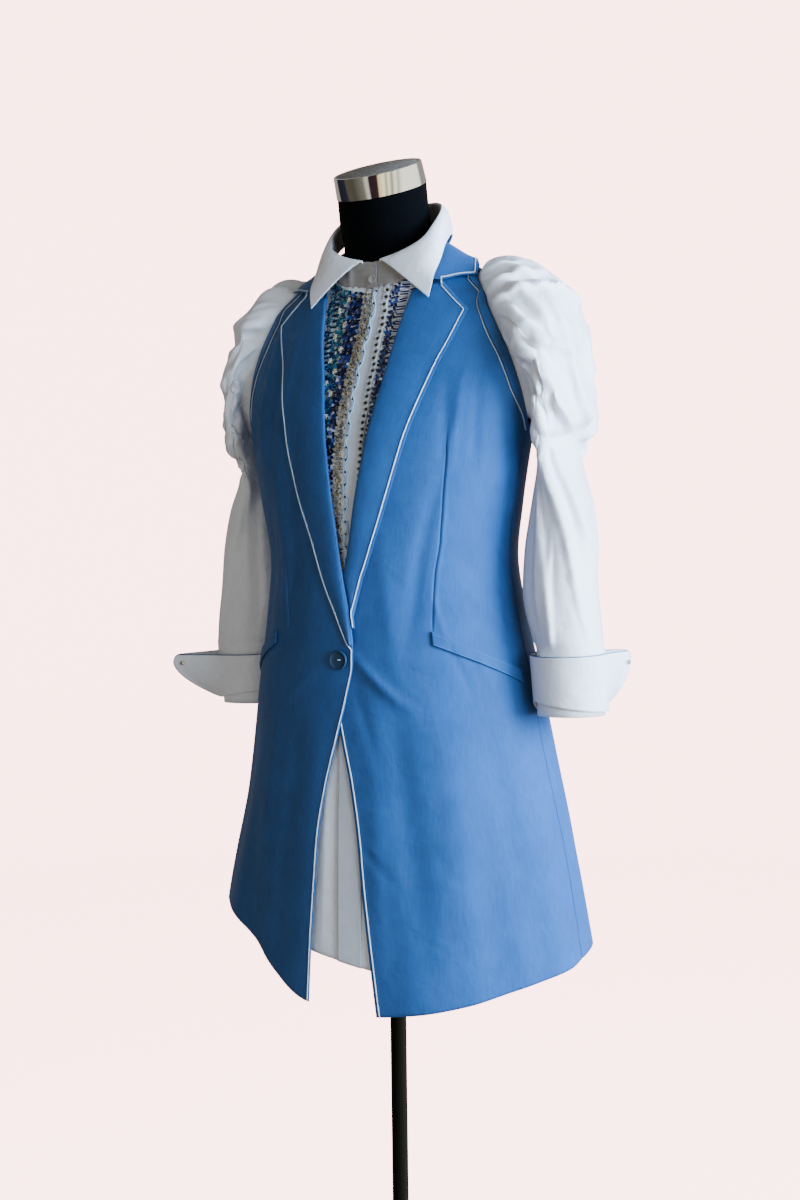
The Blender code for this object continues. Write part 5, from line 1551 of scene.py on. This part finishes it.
def studio_strips(tree, shader):
    """Light and dark strips of a studio, for polished metal to reflect."""
    tree.nodes.clear()
    place = add(tree, "TexCoord").outputs["UV"]
    split = add(tree, "SeparateXYZ", {0: place})
    ramp = add(tree, "ValToRGB", {"Fac": split.outputs[0]})
    ramp.color_ramp.interpolation = "LINEAR"
    stops = ramp.color_ramp.elements
    for degrees, colour in ROOM_STRIPS[1:-1]:
        stops.new((degrees + 180) / 360).color = (*colour, 1)
    stops[0].color, stops[-1].color = (*ROOM_STRIPS[0][1], 1), (*ROOM_STRIPS[-1][1], 1)
    light = add(tree, "Emission", {"Color": ramp.outputs["Color"], "Strength": ROOM_GLOW})
    add(tree, "OutputMaterial", {"Surface": light.outputs[0]})


def width_between(shape, along, near, far):
    """Distance across a surface between two values of its second number."""
    return np.linalg.norm(shape(along, far + 0 * along) - shape(along, near + 0 * along), axis=-1)


def lapel_shape(side):
    """A lapel's surface as a function of share and across."""
    return lambda share, across: lapel_surface(side, LAPEL_FOOT[side], share, across)


def lapel_line(side, inset):
    """Share and across of a line beside a lapel's edge, up it and along its top to the notch."""
    share = np.linspace(0.004, 1, 160)
    wide = width_between(lapel_shape(side), share, 0.0, 1.0)
    top, last = 1 - inset / 0.3, 1 - inset / wide[-1]
    up = share < top
    across = 1 - inset / np.maximum(wide, inset * 1.4)
    run = np.linspace(last, NOTCH_SHARE + 0.03, 24)
    return np.concatenate([share[up], np.full(run.shape, top)]), np.concatenate([across[up], run])


def collar_line(inset):
    """Along and across of a line beside the collar's front edges and outer edge."""
    end = 1 - inset / 0.2
    along = np.linspace(-end, end, 260)
    wide = width_between(collar_shape, along, 0.0, 1.0)
    across = 1 - inset / wide
    run = np.linspace(0.36, 1, 26)[:-1]
    return (np.concatenate([np.full(25, -end), along, np.full(25, end)]),
            np.concatenate([across[0] * run, across, (across[-1] * run)[::-1]]))


def front_shape(side):
    """Point of a front at a distance from the centre and a row."""
    def shape(x, row):
        angle = side * angle_of(x, row)
        z = row + hem_drop(angle, row)
        return body_point(angle, z, front_lift(side, angle, z))
    return shape


def front_line(side, inset):
    """Distance and row of a line beside a front's edge, where the other front leaves it bare."""
    top = LEFT_CORD_TOP if side == LEFT else LAPEL_FOOT[side] - 0.004
    row = np.linspace(HEM_ROW + 0.0006, top, 260)
    return front_edge(side, row) + inset, row


class DRESS_OT_panels(bpy.types.Operator):
    """Make the two darted fronts, then the two backs with their centre seam"""
    bl_idname = "dress.panels"
    bl_label = "Fronts and backs"

    def execute(self, context):
        for part, panel in (("front", front_grid), ("back", back_grid)):
            for side, word in WORDS.items():
                cloth_piece(f"{part}_{word}", panel(side), SUITING_WALL,
                            wool_twill, BODY_AXIS)
        return {"FINISHED"}


class DRESS_OT_lapels(bpy.types.Operator):
    """Make the rolled lapels and the blazer collar"""
    bl_idname = "dress.lapels"
    bl_label = "Lapels and collar"

    def execute(self, context):
        for side, word in WORDS.items():
            cloth_piece(f"lapel_{word}", lapel_grid(side), COLLAR_WALL,
                        wool_twill, BODY_AXIS)
        cloth_piece("blazer_collar", blazer_collar_grid(), COLLAR_WALL,
                    wool_twill, NECK_AXIS)
        return {"FINISHED"}


class DRESS_OT_armholes(bpy.types.Operator):
    """Make the band round each armhole, with the cord beside it"""
    bl_idname = "dress.armholes"
    bl_label = "Armhole bands"

    def execute(self, context):
        sizes = context.scene.dress_sizes
        paths = []
        for side, word in WORDS.items():
            cloth_piece(f"armhole_band_{word}", armhole_band_grid(side),
                        SHIRTING_WALL, wool_twill, BODY_AXIS,
                        closed=True)
            angle, height = armhole_band_place(full_turn(240), np.array([1.1]))
            line = body_point(side * angle[0], height[0], sizes.cord_width * 0.6)
            line = np.concatenate([line, line[:1]])
            paths.append((line, unit((line - BODY_AXIS) * LEVEL)))
        cord_piece("armhole_cords", paths, sizes.cord_width * 0.5, sizes.cord_pitch, rayon_cord, sides=6)
        return {"FINISHED"}


class DRESS_OT_pockets(bpy.types.Operator):
    """Make the slanted pocket welts with their edge threads"""
    bl_idname = "dress.pockets"
    bl_label = "Pockets"

    def execute(self, context):
        paths = []
        share, down = np.linspace(0, 1, 60)[None, :], np.linspace(1, 0, 14)[:, None]
        run = np.linspace(0.01, 0.99, 90)
        for side, word in WORDS.items():
            cloth_piece(f"pocket_welt_{word}", 
                        pocket_point(side, share, down), SUITING_WALL, wool_twill,
                        BODY_AXIS)
            for down_at in (0.2, 0.95):
                paths.append(laid_on(lambda u, v: pocket_point(side, u, v), run, down_at + 0 * run,
                                     0.0001 + 0 * run, BODY_AXIS))
        cord_piece("pocket_threads", paths, *POCKET_THREAD, blue_thread, sides=6)
        return {"FINISHED"}


class DRESS_OT_edges(bpy.types.Operator):
    """Lay the twisted cord along the lapels, the collar and the fronts"""
    bl_idname = "dress.edges"
    bl_label = "Edge cords"

    def execute(self, context):
        sizes = context.scene.dress_sizes
        radius = sizes.cord_width / 2

        def laid(shape, line, middle=BODY_AXIS):
            return laid_on(shape, *line, np.full(line[0].shape, radius * CORD_LIFT), middle)

        front_left, front_right = (laid(front_shape(side), front_line(side, CORD_INSET[side]))
                                   for side in (LEFT, RIGHT))
        lapel_left, lapel_right = (laid(lapel_shape(side), lapel_line(side, CORD_INSET[side]))
                                   for side in (LEFT, RIGHT))
        lapel_left = [part[::-1] for part in lapel_left]
        collar = laid(collar_shape, collar_line(CORD_INSET[LEFT]), NECK_AXIS)
        around = [np.concatenate(parts) for parts in zip(front_right, lapel_right, collar, lapel_left)]
        cord_piece("edge_cord", [around, front_left], radius, sizes.cord_pitch, rayon_cord)
        return {"FINISHED"}


class DRESS_OT_button(bpy.types.Operator):
    """Turn the button and sew it on through its two holes"""
    bl_idname = "dress.button"
    bl_label = "Button"

    def execute(self, context):
        spot = dress_point(angle_of(BUTTON_ASIDE, BUTTON_HEIGHT), BUTTON_HEIGHT,
                           OVERLAP_LIFT + BUTTON_LIFT)
        turned_piece("button_resin", BUTTON_PROFILE, 64, FACING_FRONT, spot, dyed_resin,
                     ["button"])
        points, faces = turned_mesh(MM * np.array(HOLE_PROFILE), 16)
        holes = [points @ FACING_FRONT.T + spot + place for place in HOLES]
        faces = faces + [[corner + len(points) for corner in face] for face in faces]
        piece("button_holes", np.concatenate(holes), faces, powder_coat)
        threads = []
        share = np.linspace(-1, 1, 24)[:, None]
        for lift in (-THREAD_APART, THREAD_APART):
            line = spot + THREAD_MIDDLE + lift * UP + np.array(THREAD_REACH) * share
            line = line - np.array(THREAD_ARCH) * (1 - share ** 2)
            threads.append((line, np.tile([0, -1.0, 0], (24, 1))))
        cord_piece("button_thread", threads, *BUTTON_THREAD, pale_thread, spacing=0.0002)
        return {"FINISHED"}


class DRESS_OT_shirt(bpy.types.Operator):
    """Make the shirt fronts, the satin placket and the shirt collar"""
    bl_idname = "dress.shirt"
    bl_label = "Shirt front and collar"

    def execute(self, context):
        for side, word in WORDS.items():
            cloth_piece(f"shirt_front_{word}", shirt_front_grid(side),
                        SHIRTING_WALL, satin_cotton, BODY_AXIS)
        cloth_piece("placket", placket_grid(), SHIRTING_WALL, silk_ribbon,
                    BODY_AXIS,
                    name="placket_satin_strip")
        cloth_piece("shirt_collar", shirt_collar_grid(), SHIRTING_WALL,
                    satin_cotton, NECK_AXIS)
        stand = collar_stand_grid()
        cloth_piece("shirt_collar_stand", stand, SHIRTING_WALL,
                    voile_with_painted_shade, NECK_AXIS, name="collar_stand_cloth")
        self.sew()
        aside, stand_column = SHELL_BUTTON_PLACE
        _, forward, height = stand[0, stand_column]
        turned_piece("collar_button", SHELL_BUTTON_PROFILE, 32, FACING_FRONT,
                     np.array([COLLAR_SHIFT + aside, forward - 0.0004, height]), clouded_shell)
        return {"FINISHED"}

    def sew(self):
        """Topstitching of the collar's edge, the placket and the shirt's hem."""
        end = 1 - STITCH_INSET / 0.2
        along = np.linspace(-end, end, 200)
        across = 1 - STITCH_INSET / width_between(shirt_collar_point, along, 0.0, 1.0)
        run = np.linspace(0.15, 1, 20)
        lines = [(along, across), (0 * run + end, across[-1] * run), (0 * run - end, across[0] * run)]
        stitches("collar_stitches", shirt_collar_point, lines, NECK_AXIS)
        row = np.linspace(*PLACKET_STITCHES, 120)
        lines = [(PLACKET_MIDDLE + share * (PLACKET_HALF - 0.002) + 0 * row, row) for share in (-1, 1)]
        stitches("placket_stitches", lambda x, z: shirt_point(x, z, PLACKET_FACE), lines, BODY_AXIS)
        x = np.linspace(*HEM_STITCHES, 80)
        x = x[np.abs(x - PLACKET_MIDDLE) > PLACKET_HALF + 0.0005]
        lines = [(part, SHIRT_HEM + 0.01 + 0 * part) for part in (x[x < 0], x[x > 0])]
        stitches("shirt_hem_stitches", shirt_point, lines, BODY_AXIS)


class DRESS_OT_beadwork(bpy.types.Operator):
    """Sew the bands of sequins, beads, tubes and wavy cord on the shirt front"""
    bl_idname = "dress.beadwork"
    bl_label = "Beadwork"

    def execute(self, context):
        spacing = context.scene.dress_sizes.sequin_spacing
        for name, left, right, share, *others in SEQUIN_BANDS:
            sequin_band(name, left, right, spacing * share, *others)
        bead_band(*GOLD_BAND)
        for ladder in TUBE_LADDERS:
            bugle_ladder(*ladder)
        self.rings()
        self.stars()
        paths = [ribbon_path(LOOPS_PLACE, phase, PLACKET_FACE + 0.001) for phase in (0.0, 1.5)]
        cord_piece("wavy_cord", paths, *WAVY_CORD, pale_thread, sides=6)
        return {"FINISHED"}

    def rings(self):
        """Silver rings round black beads beside the placket, and dark loops in the wavy cord."""
        z = np.arange(BEADS_LOW, BEADS_TOP, RINGS_PITCH)
        x = RINGS_PLACE + np.random.default_rng(41).normal(size=z.size) * RING_JITTER
        ball, size = turned_mesh(BALL_PROFILE, 8), (RING_RADIUS,) * 3
        ring = turned_mesh(RING_PROFILE, 12)
        self.still("silver_rings", ring, x, z, size, "d9dde0", "metal_beads", RING_LIFT)
        self.still("ring_centres", ball, x, z, size, "0b0c10", "sequins", CENTRE_LIFT)
        z = np.arange(BEADS_LOW, BEADS_TOP, RIBBON_WAVE / 2)
        self.still("cord_loops", ball, band_edge(LOOPS_PLACE, z), z, (LOOP_RADIUS,) * 3, "1a2030",
                   "sequins", LOOP_LIFT)

    def stars(self):
        """Cream starbursts of six short tubes scattered over the pale blue band."""
        z = np.arange(BEADS_LOW + 0.004, BEADS_TOP - 0.004, STARS_PITCH)
        sway = STARS_SWAY * np.where(np.arange(z.size) % 2, 1, -1)
        x = STARS_PLACE + sway + np.random.default_rng(51).normal(size=z.size) * STAR_JITTER
        ray = np.tile(np.arange(6) * np.pi / 3, z.size)
        x = np.repeat(x, 6) + STAR_RAY * np.cos(ray)
        z = np.repeat(z, 6) + STAR_RAY * np.sin(ray)
        self.still("starbursts", bugle_model(), x, z, STAR_TUBE, "f4efdc", "metal_beads", STAR_LIFT,
                   ray)

    def still(self, name, model, x, z, size, code, slot, lift, turn=0.0):
        """Beads of one colour that lie flat."""
        beads(name, model, x, z, size, np.tile(linear(code), (x.size, 1)), turn + 0 * z,
              np.zeros((x.size, 2)), lift)


class DRESS_OT_sleeves(bpy.types.Operator):
    """Make the pleated puff sleeves"""
    bl_idname = "dress.sleeves"
    bl_label = "Puff sleeves"

    def execute(self, context):
        for side, word in WORDS.items():
            cloth_piece(f"sleeve_{word}", sleeve_grid(side), SHIRTING_WALL,
                        satin_cotton, np.array([side * 0.19, 0, 1.2]),
                        closed=True)
        return {"FINISHED"}


class DRESS_OT_cuffs(bpy.types.Operator):
    """Make the turned-back cuffs with their piping, inner layer and studs"""
    bl_idname = "dress.cuffs"
    bl_label = "Cuffs"

    def execute(self, context):
        paths = []
        for side, word in WORDS.items():
            grid = cuff_grid(side)
            middle = cuff_middle(side) + np.array([0, 0, 0.95])
            cloth_piece(f"cuff_{word}", grid, COLLAR_WALL, satin_cotton,
                        middle)
            away = unit((grid[-1] - middle) * LEVEL)
            paths.append((grid[-1] - away * COLLAR_WALL / 2 + 0.0004 * UP, away))
            inner = grid[LINING_ROWS, LINING_COLUMNS]
            inner = inner - unit((inner - middle) * LEVEL) * (COLLAR_WALL + LAID_GAP) - LINING_DROP * UP
            cloth_piece(None, inner, LINING_WALL, cotton_lawn, middle,
                        name=f"cuff_lining_{word}")
            self.stud(side, word, grid)
        cord_piece("cuff_piping", paths, *CUFF_PIPING, grey_piping, "piping", lobes=1, sides=6)
        return {"FINISHED"}

    def stud(self, side, word, grid):
        """A domed stud through the wing near its tip, on the face to the front."""
        row, col = int(0.8 * len(grid)), -STUD_COLUMN[side]
        here = grid[row, col]
        out = unit(np.cross(grid[row, col - 3] - here, grid[row - 3, col] - here))
        out = out * -np.sign(out[1])
        across = unit(np.cross(UP, out))
        axes = np.stack([across, np.cross(out, across), out], -1)
        turned_piece(f"stud_{word}_dome", STUD_PROFILE, 24, axes, here + out * 0.0001, nickel_plate,
                     [f"stud_{word}"])


class DRESS_OT_form(bpy.types.Operator):
    """Make the dress form and its neck cap, and finish the pole and base"""
    bl_idname = "dress.form"
    bl_label = "Form and stand"

    def execute(self, context):
        grid = form_grid()
        rows, columns = grid.shape[:2]
        faces = grid_faces(rows, columns, closed=True).tolist()
        foot = np.arange(columns)
        faces += [foot[::-1].tolist(), (foot + (rows - 1) * columns).tolist()]
        piece("form_cover", grid.reshape(-1, 3), faces, black_jersey, ["form_torso"])
        place = np.array([0, *NECK_TOP[1:]]) + SEAM_GAP * LEANING[:, 2]
        turned_piece("neck_cap_shell", CAP_PROFILE, 128, LEANING, place, nickel_plate,
                     ["neck_cap"], sharp=35.0)
        turned_piece("neck_cap_top", CAP_TOP_PROFILE, 96, LEANING, place, speckled_moulding)
        for name in ("pole", "base_plate"):
            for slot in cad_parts[name].material_slots:
                slot.material = finish(powder_coat)
        return {"FINISHED"}


def camera_axes():
    """Right, up, backward and level directions of the camera: turned, dipped, then rolled."""
    across = np.array([np.cos(CAMERA_TURN), np.sin(CAMERA_TURN), 0])
    level = np.cross(UP, across)
    ahead = level * np.cos(CAMERA_DIP) - UP * np.sin(CAMERA_DIP)
    above = level * np.sin(CAMERA_DIP) + UP * np.cos(CAMERA_DIP)
    right = np.cos(CAMERA_ROLL) * across - np.sin(CAMERA_ROLL) * above
    up = np.sin(CAMERA_ROLL) * across + np.cos(CAMERA_ROLL) * above
    return right, up, -ahead, level


def stand_at(name, data, right, up, backward, place):
    """Puts a camera or a lamp in the scene: it looks against its backward direction."""
    thing = bpy.data.objects.new(name, data)
    matrix = np.eye(4)
    matrix[:3] = np.stack([right, up, backward, place], -1)
    thing.matrix_world = Matrix(matrix.tolist())
    bpy.context.scene.collection.objects.link(thing)
    return thing


def make_camera():
    """Camera at the photograph's viewing angle and framing."""
    right, up, backward, level = camera_axes()
    lens = bpy.data.cameras.new("camera")
    lens.sensor_width = SENSOR
    lens.lens = FOCAL_PIXELS * SENSOR / PHOTO_HEIGHT
    lens.shift_x = -SIDE_PIXELS / PHOTO_HEIGHT
    place = -level * CAMERA_AWAY + np.array([0, BODY_BACK, CAMERA_HEIGHT])
    bpy.context.scene.camera = stand_at("camera", lens, right, up, backward, place)


def area_light(name, azimuth, elevation, distance, size, power, colour):
    """Square soft light that faces the dress, at degrees to the right of the camera and up."""
    turn, rise = CAMERA_TURN + np.radians(azimuth), np.radians(elevation)
    away = np.array([np.sin(turn) * np.cos(rise), -np.cos(turn) * np.cos(rise), np.sin(rise)])
    lamp = bpy.data.lights.new(name, "AREA")
    lamp.shape = "SQUARE"
    lamp.size = size
    lamp.energy = power
    lamp.color = colour
    side = unit(np.cross(UP, away))
    light = stand_at(name, lamp, side, np.cross(away, side), away, BODY_AXIS + away * distance)
    light.visible_glossy = False


class DRESS_OT_stage(bpy.types.Operator):
    """Set the camera, the soft lights and the pale sweep"""
    bl_idname = "dress.stage"
    bl_label = "Stage"

    def execute(self, context):
        make_camera()
        for light in LIGHTS:
            area_light(*light)
        world = bpy.data.worlds.new("studio")
        world.use_nodes = True
        connect(world.node_tree, world.node_tree.nodes["Background"],
                {"Color": DAYLIGHT, "Strength": DAYLIGHT_STRENGTH})
        context.scene.world = world
        self.sweep()
        self.reflected_room()
        return {"FINISHED"}

    def sweep(self):
        """One smooth sheet of paper: a round floor that bends up into a wall all round."""
        bend = np.linspace(0, 1, 13)[1:] * np.pi / 2
        far = PAPER_FLAT + PAPER_BEND
        radius = np.concatenate([PAPER_RINGS, PAPER_FLAT + PAPER_BEND * np.sin(bend), [far, far]])
        height = np.concatenate([0 * np.array(PAPER_RINGS), PAPER_BEND * (1 - np.cos(bend)),
                                 [PAPER_TOP / 2, PAPER_TOP]])
        points = revolved(radius, height - PAPER_DROP, PAPER_COLUMNS)
        faces = grid_faces(*points.shape[:2], closed=True)[:, ::-1].tolist()
        faces.append(list(range(PAPER_COLUMNS)))
        sweep = mesh_object("seamless_sweep", points.reshape(-1, 3), faces, finish(seamless_paper))
        for kind in ("diffuse", "glossy", "shadow"):
            setattr(sweep, "visible_" + kind, False)

    def reflected_room(self):
        """Upright light and dark strips all round, seen in polished metal and glass alone."""
        turn = CAMERA_TURN + np.linspace(-np.pi, np.pi, ROOM_COLUMNS)
        wall = ROOM_RADIUS * np.stack([np.sin(turn), -np.cos(turn), 0 * turn], -1)
        grid = wall[None] + UP * np.array(ROOM_HEIGHTS)[:, None, None]
        faces = grid_faces(2, ROOM_COLUMNS)
        room = mesh_object("reflected_room", grid.reshape(-1, 3), faces.tolist(), finish(studio_strips))
        share = np.tile(np.linspace(0, 1, ROOM_COLUMNS), 2)[faces.ravel()]
        layer = room.data.uv_layers.new(name="bearing")
        layer.data.foreach_set("uv", np.stack([share, 0 * share], -1).astype(np.float32).ravel())
        for kind in ("camera", "diffuse", "transmission", "volume_scatter", "shadow"):
            setattr(room, "visible_" + kind, False)


def colour_property(name, code, description):
    """A colour to choose, from its sRGB hex value."""
    return bpy.props.FloatVectorProperty(name=name, description=description, subtype="COLOR", size=3,
                                         min=0, max=1, default=linear(code))


class DressColours(bpy.types.PropertyGroup):
    """Colours of the dress and its form."""
    suiting: colour_property("Suiting", "1d4b81", "Blue cloth of the blazer dress")
    shirting: colour_property("Shirting", "e4e8ee", "White cloth of the shirt parts")
    placket: colour_property("Placket", "c3c9d2", "Satin ribbon of the placket")
    cord: colour_property("Cord", "eef4f8", "Twisted cord along the edges")
    thread: colour_property("Thread", "a9c8e2", "Sewing thread and fine cord")
    piping: colour_property("Piping", "3f5a86", "Piping in the edges of the cuffs")
    button: colour_property("Button", "17324c", "Resin button")
    form_cover: colour_property("Form cover", "030406", "Jersey cover of the form")
    stand: colour_property("Stand", "030303", "Powder coat of the pole and base")


def length_property(name, description, default, low, high):
    """A length to choose, in metres."""
    return bpy.props.FloatProperty(name=name, description=description, default=default, min=low, max=high,
                                   unit="LENGTH")


class DressSizes(bpy.types.PropertyGroup):
    """Sizes of the trims that a maker would choose."""
    cord_width: length_property("Cord width", "Width of the twisted edge cord", 0.0012, 0.0005, 0.005)
    cord_pitch: length_property("Cord pitch", "Length of one turn of the twisted cord", 0.0048, 0.001, 0.02)
    sequin_spacing: length_property("Sequin spacing", "From one sequin to the next", 0.0029, 0.002, 0.01)


OPERATORS = (DRESS_OT_stage, DRESS_OT_form, DRESS_OT_panels, DRESS_OT_lapels,
             DRESS_OT_armholes, DRESS_OT_pockets, DRESS_OT_edges, DRESS_OT_button, DRESS_OT_shirt,
             DRESS_OT_beadwork, DRESS_OT_sleeves, DRESS_OT_cuffs)


class DRESS_PT_panel(bpy.types.Panel):
    """Lists the sizes, the colours and the pieces of the dress"""
    bl_idname = "DRESS_PT_panel"
    bl_label = "Blazer Dress"
    bl_space_type = "VIEW_3D"
    bl_region_type = "UI"
    bl_category = "Blazer Dress"

    def draw(self, context):
        for group in (context.scene.dress_sizes, context.scene.dress_colours):
            for name in group.__annotations__:
                self.layout.prop(group, name)
        for operator in OPERATORS:
            self.layout.operator(operator.bl_idname)


CLASSES = (DressSizes, DressColours) + OPERATORS + (DRESS_PT_panel,)


def register():
    """Makes the classes and the scene's values known."""
    for item in CLASSES:
        bpy.utils.register_class(item)
    bpy.types.Scene.dress_sizes = bpy.props.PointerProperty(type=DressSizes)
    bpy.types.Scene.dress_colours = bpy.props.PointerProperty(type=DressColours)


def unregister():
    """Takes them out again."""
    del bpy.types.Scene.dress_sizes
    del bpy.types.Scene.dress_colours
    for item in reversed(CLASSES):
        bpy.utils.unregister_class(item)


def main():
    """Builds the dress."""
    register()
    for operator in OPERATORS:
        group, name = operator.bl_idname.split(".")
        getattr(getattr(bpy.ops, group), name)()


if __name__ == "__main__":
    main()
